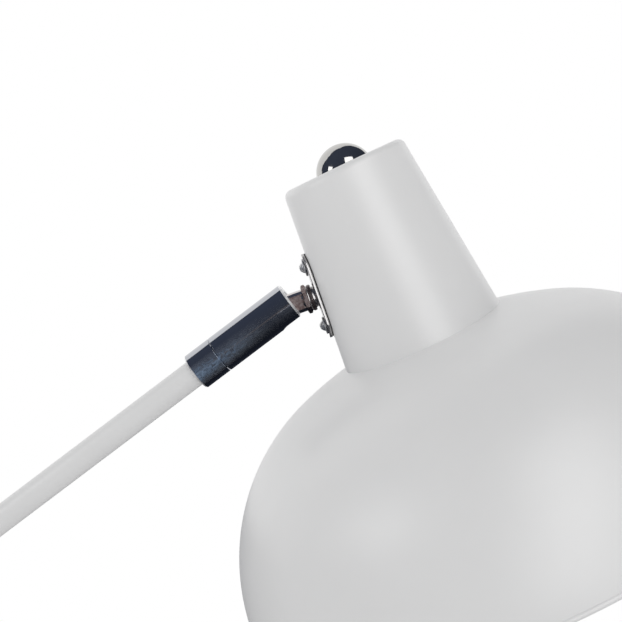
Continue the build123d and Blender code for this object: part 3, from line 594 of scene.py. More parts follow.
def make_chrome(colours):
    """Clean polished chrome."""
    made = polished("polished_chrome", colours.cap_chrome, colours)
    made.patches(darker(colours.cap_chrome, 0.9), 60, 5, 0.42, 0.72)
    return made.material


def make_film_and_sheen_chrome(colours):
    """Polished chrome with a bluish film where hands turn it, thicker on the underside and to the rear; the film
    is partly a painted sheen that lightens a band along the sleeve's sides, as a soft reflection would.
    """
    made = polished("film_and_sheen_chrome", colours.chrome, colours)
    axes = made.axes(made.place)
    # The sleeve's own x points down and its z to the mouth, both from the ball's centre.
    band_begins = made.spread(axes["X"], 0, 1, -5 * MM, 1 * MM)
    band_ends = made.spread(axes["X"], 1, 0, 3 * MM, 8 * MM)
    rear = made.spread(axes["Z"], 1, 0.10, -60 * MM, -10 * MM)
    under = made.combine("MULTIPLY", band_begins, band_ends)
    mottle = made.noise(560, 10, along=0.6, distortion=0.8, roughness=0.8)
    cloud = made.spread(mottle, 0.22, 1, 0.38, 0.64)
    # Film and painted sheen: the band's bluish tint and lower metallic lighten the chrome there, standing in for a
    # soft reflection.
    film_and_sheen = made.combine("MULTIPLY", cloud, made.combine("MULTIPLY", under, rear))
    made.tint(made.spread(film_and_sheen, 0, 1, 0, 0.4), colours.film_and_sheen)
    made.drive("Metallic", made.spread(film_and_sheen, 1.0, 0.22, 0, 1))
    return made.material


def nickel(name, colours):
    """Nickel with fine machining marks, and how strongly each point takes the painted warm reflection."""
    made = Finish(name, colours.nickel, 1.0)
    made.grain(0.02, 0.01 * MM, 1500, 2, along=0.15)
    return made, made.spread(made.noise(650, 6), 0.72, 1, 0.40, 0.60)


def make_nickel(colours):
    """Nickel on the stem: bright, with the flats of its tongue rougher and tinted warm brown in patches, a painted
    reflection.
    """
    made, warm_reflection = nickel("nickel_plate", colours)
    # The tongue's flats face along the stem's own y.
    own = made.tree.nodes.new("ShaderNodeVectorTransform")
    own.vector_type = "NORMAL"
    own.convert_from = "WORLD"
    own.convert_to = "OBJECT"
    surface = made.tree.nodes.new("ShaderNodeNewGeometry")
    made.tree.links.new(surface.outputs["Normal"], own.inputs["Vector"])
    sideways = made.axes(own.outputs["Vector"])["Y"]
    flats = made.spread(made.combine("MULTIPLY", sideways, sideways), 0, 1, 0.90, 0.96)
    made.tint(made.combine("MULTIPLY", flats, warm_reflection), colours.warm_reflection)
    made.drive("Roughness", made.spread(flats, 0.12, 0.42, 0, 1))
    return made.material


def make_dull_nickel(colours):
    """Nickel on the lock nut: duller and tinted warm brown all over, a painted reflection that darkens its facets.
    """
    made, warm_reflection = nickel("dull_nickel", colours)
    made.tint(warm_reflection, colours.warm_reflection)
    made.gloss(0.24, 0.34, 500, 3)
    return made.material


def make_bright_nickel(colours):
    """Bright nickel on the plate, the boss and the washer's lip."""
    made = Finish("bright_nickel", colours.bright_nickel, 0.9)
    made.patches(darker(colours.bright_nickel, 0.9), 90, 2, 0.42, 0.70)
    made.gloss(0.17, 0.22, 120, 2)
    return made.material


def make_screw_nickel(colours):
    """Duller nickel on the plate's screws."""
    made = Finish("screw_nickel", darker(colours.satin_and_highlight, 0.85), 0.85)
    made.patches(darker(colours.satin_and_highlight, 0.75), 300, 3, 0.42, 0.70)
    made.gloss(0.31, 0.38, 260, 2)
    return made.material


def make_highlight_nickel(colours):
    """Near-white satin nickel on the rings at the sleeve's two ends: a painted highlight on their chamfers,
    brighter than the chrome beside them.
    """
    made = Finish("highlight_nickel", colours.satin_and_highlight, 0.6)
    made.patches(darker(colours.satin_and_highlight, 0.92), 140, 3, 0.42, 0.70)
    made.gloss(0.26, 0.34, 260, 2)
    return made.material


def make_dark_plate(colours):
    """Near-black steel of the washer behind the nut; its darkness is partly painted shade of the gap between the
    nut and the plate.
    """
    made = Finish("dark_plate", colours.dark_plate, 0.8)
    made.patches(darker(colours.dark_plate, 0.6), 300, 4, 0.40, 0.68)
    made.gloss(0.2, 0.34, 420, 3)
    return made.material


def make_zinc(colours):
    """Zinc plate: pale spangle and a dull sheen."""
    made = Finish("zinc_plate", colours.zinc, 1.0)
    spangle = (0.44, 0.45, 0.47)
    made.patches(spangle, 420, 3)
    made.gloss(0.28, 0.46, 700, 3)
    made.grain(0.12, 0.05 * MM, 1600, 2)
    return made.material


def make_iron(colours):
    """Raw casting: coarse grain and rust-brown patches."""
    made = Finish("raw_casting", colours.iron, 0.6)
    rust = (0.10, 0.065, 0.045)
    made.patches(rust, 70, 6, 0.45, 0.7)
    made.gloss(0.55, 0.85, 300, 4)
    made.grain(0.5, 0.4 * MM, 520, 5)
    return made.material


def make_rubber(colours):
    """Matt rubber with a powdery bloom."""
    made = Finish("matt_rubber", colours.rubber)
    bloom = (0.075, 0.075, 0.075)
    made.patches(bloom, 90, 5, 0.45, 0.75)
    made.gloss(0.65, 0.9, 500, 3)
    made.grain(0.25, 0.1 * MM, 1400, 3)
    return made.material


def make_plastic(colours):
    """Moulded plastic with a light spark-eroded grain."""
    made = Finish("moulded_plastic", colours.plastic)
    made.patches(darker(colours.plastic, 0.96), 40, 3)
    made.gloss(0.36, 0.52, 800, 3)
    made.grain(0.12, 0.06 * MM, 2200, 3)
    return made.material


def make_cable(colours):
    """Sheath of the lead: extruded plastic with faint lines along it."""
    made = Finish("cable_sheath", colours.cable)
    made.patches(darker(colours.cable, 0.93), 60, 3)
    made.gloss(0.42, 0.6, 600, 3)
    made.grain(0.12, 0.06 * MM, 1200, 2, along=0.05)
    return made.material


def make_brass(colours):
    """Plain brass with a brown tarnish."""
    made = Finish("plain_brass", colours.brass, 1.0)
    tarnish = (0.48, 0.32, 0.13)
    made.patches(tarnish, 220, 5, 0.42, 0.72)
    made.gloss(0.2, 0.42, 700, 4)
    made.grain(0.1, 0.04 * MM, 1800, 2)
    return made.material


def make_glass(colours):
    """Opal glass: light passes into it and is scattered."""
    made = Finish("opal_glass", colours.opal)
    made.patches(darker(colours.opal, 0.97), 35, 3)
    made.gloss(0.16, 0.28, 240, 3)
    made.put("Transmission Weight", 0.25)
    made.put("IOR", 1.48)
    made.put("Coat Weight", 0.4)
    made.put("Coat Roughness", 0.08)
    return made.material


MAKERS = {
    "white_paint": make_white_paint,
    "chrome": make_chrome,
    "film_and_sheen_chrome": make_film_and_sheen_chrome,
    "nickel": make_nickel,
    "dull_nickel": make_dull_nickel,
    "bright_nickel": make_bright_nickel,
    "screw_nickel": make_screw_nickel,
    "highlight_nickel": make_highlight_nickel,
    "dark_plate": make_dark_plate,
    "zinc_steel": make_zinc,
    "cast_iron": make_iron,
    "rubber": make_rubber,
    "white_plastic": make_plastic,
    "cable": make_cable,
    "brass": make_brass,
    "glass": make_glass,
}
MADE = {}


def finish(slot):
    """A finish by its name, made the first time that a piece needs it."""
    if slot not in MADE:
        MADE[slot] = MAKERS[slot](bpy.context.scene.lamp_finishes)
    return MADE[slot]


def pole_top(stand):
    """Height of the pole's upper end."""
    return stand.base_top + 2 * stand.section


def rear_side(height):
    """Frame on the pole's axis at a height, with z out to the rear."""
    return frame_at(Vector((0, 0, height)), Vector((0, 1, 0)), Vector((-1, 0, 0)))


def collar_rear(joint):
    """Place of the sleeve's rear end along the arm, from the ball's centre."""
    return joint.mouth - joint.sleeve_length - joint.groove - joint.collar_length


def neck_slope(head):
    """How much the neck widens for each unit of its height."""
    return (head.neck_bottom - head.neck_top) / head.neck_height


def neck_inside(head):
    """Inner radius of the neck at its rim."""
    return head.neck_bottom - head.neck_wall * sqrt(1 + neck_slope(head) ** 2)


def head_frame(head):
    """Frame of the head: at the centre of the neck's rim, z up along the neck, x towards the arm."""
    flare = atan2(head.neck_bottom - head.neck_top, head.neck_height)
    tilt = atan2(STEM_WAY.z, STEM_WAY.x) + flare
    to_arm = Vector((-cos(tilt), 0, -sin(tilt)))
    rim_point = BALL + STEM_WAY * head.neck_face + below(STEM_WAY) * head.plate_height
    return frame_at(rim_point - to_arm * head.neck_bottom, to_arm, Vector((-sin(tilt), 0, cos(tilt))))


def crown_centre(head):
    """Height of the centre of the dome's crown, which meets the inside of the neck's rim."""
    return -sqrt(head.crown_radius**2 - neck_inside(head) ** 2)


def crown_height(head, radius):
    """Height of the dome's crown at a radius."""
    return crown_centre(head) + sqrt(head.crown_radius**2 - radius**2)


class LAMP_OT_base(bpy.types.Operator):
    """Make the base's pad and painted cover"""

    bl_idname = "lamp.base"
    bl_label = "Base"
    bl_options = {"REGISTER", "UNDO"}

    HEM_EDGE = 0.45 * MM

    def execute(self, context):
        size = context.scene.lamp_stand
        pad = [
            (0, 0),
            (size.pad_radius, 0, SOFT_EDGE),
            (size.pad_radius, size.pad_thickness, 2 * SOFT_EDGE),
            (0, size.pad_thickness),
        ]
        piece = turned("floor_pad", supported(rounded(pad, closed=False), closed=False), closed=False)
        wear(piece, "stand", "rubber", "base_pad")
        inside = size.base_radius - size.sheet
        under = size.base_top - size.sheet
        cover = [
            (size.bolt_hole, under),
            (size.bolt_hole, size.base_top),
            (size.base_radius, size.base_top, size.base_edge),
            (size.base_radius, size.cover_hem, self.HEM_EDGE),
            (inside, size.cover_hem, self.HEM_EDGE),
            (inside, under, size.base_edge - size.sheet),
        ]
        wear(lathe("painted_cover", cover, segments=256, steps=10), "stand", "white_paint", "base_cover")
        return {"FINISHED"}


class LAMP_OT_pole(bpy.types.Operator):
    """Make the two pole sections, the foot collar and the lead's gland"""

    bl_idname = "lamp.pole"
    bl_label = "Pole"
    bl_options = {"REGISTER", "UNDO"}

    SEAT_CLEARANCE = 0.3 * MM
    GLAND_RIM = 1.0 * MM
    GLAND_MOUTH = 0.7 * MM

    def execute(self, context):
        size = context.scene.lamp_stand
        bore = size.pole_radius - size.pole_wall
        foot = size.base_top
        for node in ("lower_pole", "upper_pole"):
            head = foot + size.section
            section = [
                (bore, foot, PLAIN_EDGE),
                (size.pole_radius, foot, SOFT_EDGE),
                (size.pole_radius, head, SOFT_EDGE),
                (bore, head, PLAIN_EDGE),
            ]
            wear(lathe("painted_" + node, section, segments=96), "stand", "white_paint", node)
            foot = head
        hole = size.pole_radius + FIT
        top = size.base_top + size.collar_height
        collar = [
            (hole, size.base_top),
            (size.collar_radius, size.base_top, PLAIN_EDGE),
            (size.collar_radius, top, size.collar_edge),
            (hole, top, SOFT_EDGE),
        ]
        piece = lathe("foot_ring", collar, steps=8)
        seat_radius = size.gland_flange + self.SEAT_CLEARANCE
        seat = sqrt(size.collar_radius**2 - seat_radius**2)
        side = rear_side(size.base_top + size.gland_height)
        outside = size.collar_radius + 5 * PAST
        carve(piece, rod(size.gland_body + FIT, 0, outside, side))
        carve(piece, rod(seat_radius, seat, outside, side))
        wear(piece, "stand", "white_paint", "foot_collar")
        front = seat + size.gland_thickness
        gland = [
            (size.gland_bore, bore),
            (size.gland_body, bore, PLAIN_EDGE),
            (size.gland_body, seat),
            (size.gland_flange, seat, PLAIN_EDGE),
            (size.gland_flange, front, self.GLAND_RIM),
            (size.gland_bore, front, self.GLAND_MOUTH),
        ]
        wear(lathe("lead_gland", gland, side, 72), "stand", "rubber", "cord_gland")
        return {"FINISHED"}


class LAMP_OT_swivel(bpy.types.Operator):
    """Make the bush on the pole's top and the collar that turns on it"""

    bl_idname = "lamp.swivel"
    bl_label = "Swivel"
    bl_options = {"REGISTER", "UNDO"}

    RUNNING_GAP = 0.3 * MM

    def execute(self, context):
        size = context.scene.lamp_stand
        hole = context.scene.lamp_arc.tube_radius + FIT
        inside = size.pole_radius - size.pole_wall - FIT
        seat = pole_top(size)
        foot = seat - size.bush_depth
        top = seat + size.bush_flange
        bush = [
            (hole, foot),
            (inside, foot),
            (inside, seat),
            (size.pole_radius, seat, PLAIN_EDGE),
            (size.pole_radius, top, 2 * PLAIN_EDGE),
            (hole, top, FINE_EDGE),
        ]
        wear(lathe("pole_bush", bush), "stand", "chrome", "swivel_bush")
        low = top + self.RUNNING_GAP
        high = low + size.stop_height
        edge = size.stop_radius - size.stop_edge
        stop = [
            (hole, low, FINE_EDGE),
            (edge, low, FINE_EDGE),
            (size.stop_radius, low + size.stop_edge, FINE_EDGE),
            (size.stop_radius, high - size.stop_edge, FINE_EDGE),
            (edge, high, FINE_EDGE),
            (hole, high, PLAIN_EDGE),
        ]
        piece = lathe("arc_collar", stop)
        side = rear_side((low + high) / 2)
        carve(piece, rod(size.grub_radius, 0, size.stop_radius + 2 * PAST, side, 32))
        wear(piece, "arc", "chrome", "stop_collar")
        return {"FINISHED"}


class LAMP_OT_arc(bpy.types.Operator):
    """Make the bent tube"""

    bl_idname = "lamp.arc"
    bl_label = "Arc"
    bl_options = {"REGISTER", "UNDO"}

    BEND_STEPS = 96
    SIDES = 64
    FOOT_GAP = 0.1 * MM

    def execute(self, context):
        size = context.scene.lamp_arc
        stand = context.scene.lamp_stand
        joint = context.scene.lamp_joint
        top = pole_top(stand)
        start = Vector((0, 0, top - stand.bush_depth + self.FOOT_GAP))
        centre = Vector((size.bend_radius, 0, top + stand.bush_flange + size.riser))
        bend = pi / 2 - atan2(ARM_WAY.z, ARM_WAY.x)
        stops = [(start, FLOOR_UP)]
        for step in range(self.BEND_STEPS + 1):
            turn = bend * step / self.BEND_STEPS
            out = Vector((-cos(turn), 0, sin(turn)))
            stops.append((centre + out * size.bend_radius, Vector((sin(turn), 0, cos(turn)))))
        seat = collar_rear(joint) + joint.tube_depth
        stops.append((BALL + ARM_WAY * seat, ARM_WAY))
        shape = bmesh.new()
        walls = []
        for radius in (size.tube_radius, size.tube_radius - size.tube_wall):
            circle = [Vector((radius * cos(a), radius * sin(a), 0)) for a in around(self.SIDES)]
            rings = []
            for point, way in stops:
                place = frame_at(point, below(way), way)
                rings.append([shape.verts.new(place @ corner) for corner in circle])
            walls.append(rings)
        skin(shape, walls[0] + walls[1][::-1], closed=True)
        wear(to_object("bent_tube", shape, STAND), "arc", "white_paint", "arc_tube")
        return {"FINISHED"}


class LAMP_OT_sleeve(bpy.types.Operator):
    """Make the polished sleeve: its rear collar and its slotted front half"""

    bl_idname = "lamp.sleeve"
    bl_label = "Sleeve"
    bl_options = {"REGISTER", "UNDO"}

    SEGMENTS = 160
    SLOT_STEPS = 24
    # Bevel beside the groove and its rounding, rounding round the tube's hole, and flare of the mouth.
    PARTING = 0.2 * MM
    PARTING_EDGE = 0.05 * MM
    HOLE_EDGE = 0.15 * MM
    FLARE = 0.9 * MM

    def execute(self, context):
        size = context.scene.lamp_joint
        tube = context.scene.lamp_arc
        hole = tube.tube_radius + FIT
        passage = tube.tube_radius - tube.tube_wall
        out = size.sleeve_radius
        edge = size.sleeve_edge
        back = size.mouth - size.sleeve_length
        collar_front = back - size.groove
        rear = collar_rear(size)
        seat = rear + size.tube_depth
        spigot = size.sleeve_bore - FIT
        spigot_tip = collar_front + size.spigot
        rear_ring = [
            (hole, rear + edge),
            (hole + edge, rear, self.HOLE_EDGE),
            (out - edge, rear, KEEN_EDGE),
            (out, rear + edge),
        ]
        # The rear ring is near-white nickel, a painted highlight along the collar's rear chamfer.
        piece = lathe("rear_ring", rear_ring, ARM, self.SEGMENTS)
        wear(piece, "arc", "chrome", "arm_collar", look="highlight_nickel")
        collar = [
            (hole, rear + edge),
            (out, rear + edge),
            (out, collar_front - self.PARTING, KEEN_EDGE),
            (out - self.PARTING, collar_front, self.PARTING_EDGE),
            (spigot, collar_front),
            (spigot, spigot_tip),
            (passage, spigot_tip),
            (passage, seat),
            (hole, seat),
        ]
        piece = lathe("sleeve_collar", collar, ARM, self.SEGMENTS)
        wear(piece, "arc", "chrome", "arm_collar", look="film_and_sheen_chrome")
        mouth_back = size.mouth - size.mouth_edge
        front = [
            (size.sleeve_bore, back),
            (out - self.PARTING, back, self.PARTING_EDGE),
            (out, back + self.PARTING, KEEN_EDGE),
            (out, mouth_back),
            (size.lip_radius, mouth_back),
            (size.lip_radius, size.lip),
            (size.sleeve_bore, size.lip),
        ]
        # The mouth ring is near-white nickel too, a painted highlight round the sleeve's mouth.
        mouth_ring = [
            (out, mouth_back),
            (out - size.mouth_edge, size.mouth, FINE_EDGE),
            (size.lip_radius + self.FLARE, size.mouth, FINE_EDGE),
            (size.lip_radius, size.mouth - self.FLARE, FINE_EDGE),
            (size.lip_radius, mouth_back),
        ]
        half = size.slot_width / 2
        end = size.mouth - size.slot_length + half
        slot = arc((end, 0), half, pi / 2, 3 * pi / 2, self.SLOT_STEPS)
        slot += [(2 * out, -half), (2 * out, half)]
        across = frame_at(BALL, ARM_WAY, below(ARM_WAY))
        turnings = (("slotted_sleeve", front, "film_and_sheen_chrome"), ("mouth_ring", mouth_ring, "highlight_nickel"))
        for name, corners, look in turnings:
            piece = lathe(name, corners, ARM, self.SEGMENTS)
            carve(piece, slab("slot", slot, 0, 2 * out, across))
            wear(piece, "sleeve", "chrome", "joint_sleeve", look=look)
        return {"FINISHED"}


class LAMP_OT_stem(bpy.types.Operator):
    """Make the ball stem, its lock nut and its washers"""

    bl_idname = "lamp.stem"
    bl_label = "Stem"
    bl_options = {"REGISTER", "UNDO"}

    BALL_STEPS = 48
    TONGUE_STEPS = 16
    # How far the bright lip stands back from the washer's rim, its taper and its rounding.
    LIP_INSET = 0.35 * MM
    LIP_TAPER = 0.11 * MM
    LIP_EDGE = 0.08 * MM
    WASHER_FRONT_BEVEL = 0.5 * MM
    WASHER_BACK_BEVEL = 0.4 * MM
    BOSS_TAPER = 0.25 * MM

    def execute(self, context):
        size = context.scene.lamp_joint
        ball = arc((0, 0), size.ball_radius, -pi / 2, pi / 2, self.BALL_STEPS)
        piece = turned("ball_and_tongue", ball, STEM, 96, closed=False)
        carve(piece, slab("tongue", self.tongue(size), 0, size.tongue_end, STEM), "UNION")
        carve(piece, rod(size.journal, size.tongue_end - PAST, size.stem_tip, STEM), "UNION")
        carve(piece, rod(size.stem_bore, -size.ball_radius - PAST, size.stem_tip + PAST, STEM, 48))
        wear(piece, "ball", "nickel", "ball_stem")
        low = size.tongue_end
        high = low + size.nut_height
        hole = size.journal + FIT
        flat = size.nut_across / 2
        corner = flat / cos(pi / 6)
        bevel = (corner - flat) / 2
        piece = slab("hex_lock_nut", hexagon(size.nut_across), low, high, STEM)
        drum = [(0, low), (flat, low), (corner, low + bevel)]
        drum += [(corner, high - bevel), (flat, high), (0, high)]
        carve(piece, turned("drum", drum, STEM, 192, closed=False), "INTERSECT")
        carve(piece, rod(hole, low - PAST, high + PAST, STEM))
        wear(piece, "ball", "nickel", "lock_nut", look="dull_nickel")
        lip = high + size.lip_thickness
        end = high + size.washer_thickness
        top = end + size.boss_height
        rim = size.washer_radius
        lip_rim = rim - self.LIP_INSET
        bright_lip = [
            (hole, high),
            (lip_rim, high, self.LIP_EDGE),
            (lip_rim - self.LIP_TAPER, lip, self.LIP_EDGE),
            (hole, lip),
        ]
        # The washer's near-black finish is partly painted shade of the gap between nut and plate.
        dark_washer = [
            (hole, lip),
            (rim - self.WASHER_FRONT_BEVEL, lip, FINE_EDGE),
            (rim, lip + self.WASHER_FRONT_BEVEL, PLAIN_EDGE),
            (rim, end - self.WASHER_BACK_BEVEL, FINE_EDGE),
            (rim - self.WASHER_BACK_BEVEL, end, FINE_EDGE),
            (hole, end),
        ]
        boss = [
            (hole, end),
            (size.boss_radius, end),
            (size.boss_radius - self.BOSS_TAPER, top),
            (hole, top),
        ]
        washers = (
            ("bright_lip", bright_lip, "bright_nickel"),
            ("dark_washer", dark_washer, "dark_plate"),
            ("plate_boss", boss, "bright_nickel"),
        )
        for name, corners, look in washers:
            wear(lathe(name, corners, STEM, 96), "ball", "nickel", "stem_washer", look=look)
        return {"FINISHED"}

    def tongue(self, size):
        """Section of the stem's tongue: two round sides, two flats and chamfers along the flats."""
        radius = size.tongue_radius
        half = size.tongue_thickness / 2
        flat = sqrt(radius**2 - half**2) - size.tongue_edge / 2
        low = half - size.tongue_edge
        turn = atan2(low, sqrt(radius**2 - low**2))
        right = arc((0, 0), radius, -turn, turn, self.TONGUE_STEPS)
        left = arc((0, 0), radius, pi - turn, pi + turn, self.TONGUE_STEPS)
        return right + [(flat, half), (-flat, half)] + left + [(-flat, -half), (flat, -half)]


class LAMP_OT_plate(bpy.types.Operator):
    """Make the plate on the neck, its gasket and its two screws"""

    bl_idname = "lamp.plate"
    bl_label = "Plate"
    bl_options = {"REGISTER", "UNDO"}

    # The bent plate's rows of faces are about this far apart, and its innermost row has this half width.
    ROW = 0.8 * MM
    CORE = 0.3 * MM
    GASKET_INSET = 0.3 * MM
    # The screw heads: height of the washer face, curve and rounding of the crown, and the cross recess.
    FLANGE_HEIGHT = 0.9 * MM
    CROWN_CURVE = 4.0 * MM
    CROWN_EDGE = 0.15 * MM
    CROWN_STEPS = 12
    RECESS_LENGTH = 3.6 * MM
    RECESS_WIDTH = 0.9 * MM
    RECESS_DEPTH = 1.1 * MM
    RECESS_TURN = radians(20)

    def execute(self, context):
        size = context.scene.lamp_joint
        hole = size.journal + FIT
        front = size.plate_front
        back = front + size.plate_thickness
        under = back + size.gasket
        core = size.plate_width / 2 - self.CORE
        edge = size.plate_edge
        profile = [(core, front), (0, front, edge), (0, back, edge / 2), (core, back)]
        piece = self.saddle("neck_plate", profile, size)
        carve(piece, rod(hole, front - PAST, back + PAST, STEM))
        wear(piece, "head", "nickel", "joint_plate", look="bright_nickel")
        inset = self.GASKET_INSET
        profile = [(core, back), (inset, back), (inset, under), (core, under)]
        piece = self.saddle("neck_gasket", profile, size)
        carve(piece, rod(hole, front - PAST, under + PAST, STEM))
        wear(piece, "head", "rubber", "plate_gasket")
        outline = self.screw(size)
        top = outline[-1][1]
        recess = oblong(self.RECESS_LENGTH, self.RECESS_WIDTH)
        for number, across in enumerate((-size.screw_spacing / 2, size.screw_spacing / 2), 1):
            place = STEM @ Matrix.Translation((across, 0, 0))
            piece = turned(f"plate_screw_{number}", outline, place, 72, closed=False)
            for turn in (self.RECESS_TURN, self.RECESS_TURN + pi / 2):
                spin = place @ Matrix.Rotation(turn, 4, "Z")
                carve(piece, slab("recess", recess, top - PAST, top + self.RECESS_DEPTH, spin))
            wear(piece, "head", "nickel", "plate_screws", look="screw_nickel")
        return {"FINISHED"}

    def saddle(self, name, profile, size):
        """A bar with round ends, bent round the neck, from a profile of (inset, height) corners."""
        run = [Vector(point) for point in rounded(profile, closed=False)]
        points = run[:1]
        for start, end in zip(run, run[1:]):
            count = max(1, round((end - start).length / self.ROW))
            points += [start.lerp(end, step / count) for step in range(1, count + 1)]
        shape = bmesh.new()
        rings = []
        for inset, height in points:
            outline = stadium(size.plate_length - 2 * inset, size.plate_width - 2 * inset)
            depth = size.plate_bend + size.plate_front - height
            bend = [(x, y / size.plate_bend) for x, y in outline]
            bent = [(x, depth * sin(a), height + depth * (1 - cos(a))) for x, a in bend]
            rings.append([shape.verts.new(point) for point in bent])
        shape.faces.new(rings[0][::-1])
        shape.faces.new(rings[-1])
        skin(shape, rings)
        return to_object(name, shape, STEM)

    def screw(self, size):
        """Half of a screw's section, from its end to the top of its domed crown."""
        front = size.plate_front
        rim = front - self.FLANGE_HEIGHT
        top = rim - size.screw_rise
        head = [
            (0, size.screw_end),
            (size.screw_radius, size.screw_end),
            (size.screw_radius, front),
            (size.screw_flange, front, FINE_EDGE),
            (size.screw_flange, rim, PLAIN_EDGE),
            (size.screw_crown, rim, self.CROWN_EDGE),
        ]
        lean = atan2(size.screw_rise, size.screw_crown)
        reach = sqrt(size.screw_crown**2 + size.screw_rise**2) / 2
        away = sqrt(self.CROWN_CURVE**2 - reach**2)
        centre = (size.screw_crown / 2 - away * sin(lean), (rim + top) / 2 + away * cos(lean))
        start = atan2(rim - centre[1], size.screw_crown - centre[0])
        end = atan2(top - centre[1], -centre[0])
        crown = arc(centre, self.CROWN_CURVE, start, end, self.CROWN_STEPS)[1:-1] + [(0, top)]
        return supported(rounded(head + [crown[0]], closed=False)[:-1] + crown, closed=False)


class LAMP_OT_neck(bpy.types.Operator):
    """Make the painted neck and the polished cap nut on it"""

    bl_idname = "lamp.neck"
    bl_label = "Neck"
    bl_options = {"REGISTER", "UNDO"}

    RIM_SINK = 0.15 * MM
    # The cap nut's foot is this much smaller than the nut, whose curve starts this many radians up.
    CAP_FOOT = 0.3 * MM
    CAP_START = 0.02
    CAP_STEPS = 64

    def execute(self, context):
        size = context.scene.lamp_head
        place = head_frame(size)
        inside = neck_inside(size)
        ceiling = size.neck_height - size.neck_wall
        # The rim's outer edge follows the dome down and sinks a little into it, so that no gap shows.
        outer_edge = crown_height(size, size.neck_bottom) - self.RIM_SINK
        shell = [
            (size.neck_hole, ceiling),
            (size.neck_hole, size.neck_height),
            (size.neck_top, size.neck_height, size.neck_edge),
            (size.neck_bottom, outer_edge, KEEN_EDGE),
            (inside, 0, SOFT_EDGE),
            (inside - neck_slope(size) * ceiling, ceiling, size.neck_edge - size.neck_wall),
        ]
        wear(lathe("painted_neck", shell, place, 256, steps=12), "head", "white_paint", "neck")
        top = size.neck_height + size.finial_height
        ball = (size.finial_radius**2 + size.finial_height**2) / (2 * size.finial_height)
        turn = atan2(ball - size.finial_height, size.finial_radius)
        bore_top = size.neck_height + size.finial_thread
        cap = [
            (0, bore_top),
            (size.neck_hole, bore_top),
            (size.neck_hole, size.neck_height),
            (size.finial_radius - self.CAP_FOOT, size.neck_height),
        ]
        cap += arc((0, top - ball), ball, turn + self.CAP_START, pi / 2, self.CAP_STEPS)
        wear(turned("cap_nut", cap, place, 192, closed=False), "head", "chrome", "finial")
        return {"FINISHED"}


class LAMP_OT_dome(bpy.types.Operator):
    """Make the painted dome with its rolled edge"""

    bl_idname = "lamp.dome"
    bl_label = "Dome"
    bl_options = {"REGISTER", "UNDO"}

    CROWN_STEPS = 24
    SHOULDER_STEPS = 64
    BEAD_STEPS = 28
    HOLE_CLEARANCE = 0.2 * MM
    # A narrow band of the flat beside the crown, so that the rest of it shades as flat.
    BAND = 1 * MM

    def execute(self, context):
        size = context.scene.lamp_head
        sheet = size.neck_wall
        centre = crown_centre(size)
        turn = pi / 2 - size.crown_angle
        offset = size.crown_radius - size.shoulder_radius
        shoulder = (offset * sin(size.crown_angle), centre + offset * cos(size.crown_angle))
        rim = shoulder[0] + size.shoulder_radius
        flat = crown_height(size, size.flat_radius)
        flat_turn = pi / 2 - atan2(size.flat_radius, flat - centre)
        hole = size.skirt_radius + self.HOLE_CLEARANCE
        bead_out = sheet / 2
        bead_turn = atan2(sqrt(size.bead_radius**2 - bead_out**2), bead_out)
        wall_turn = size.bead_radius * sin(bead_turn) / size.shoulder_radius

        def face(inset):
            """A face of the sheet, from its flat over its shoulder to its bead."""
            crown = arc((0, centre), size.crown_radius - inset, flat_turn, turn, self.CROWN_STEPS)
            wall = arc(shoulder, size.shoulder_radius - inset, turn, wall_turn, self.SHOULDER_STEPS)
            return crown + wall[1:]

        outside = face(0)
        inside = face(sheet)
        bead_centre = (rim - bead_out, shoulder[1])
        bead = arc(bead_centre, size.bead_radius, bead_turn, -pi - bead_turn, self.BEAD_STEPS)
        outline = [(hole, flat - sheet), (hole, flat), (size.flat_radius - self.BAND, flat)]
        outline += outside + bead[1:-1] + inside[::-1] + [(inside[0][0] - self.BAND, flat - sheet)]
        piece = turned("painted_dome", outline, head_frame(size), 320)
        # In the photo the sleeve mirrors none of the dome beside it.
        piece.visible_glossy = False
        wear(piece, "head", "white_paint", "shade")
        return {"FINISHED"}


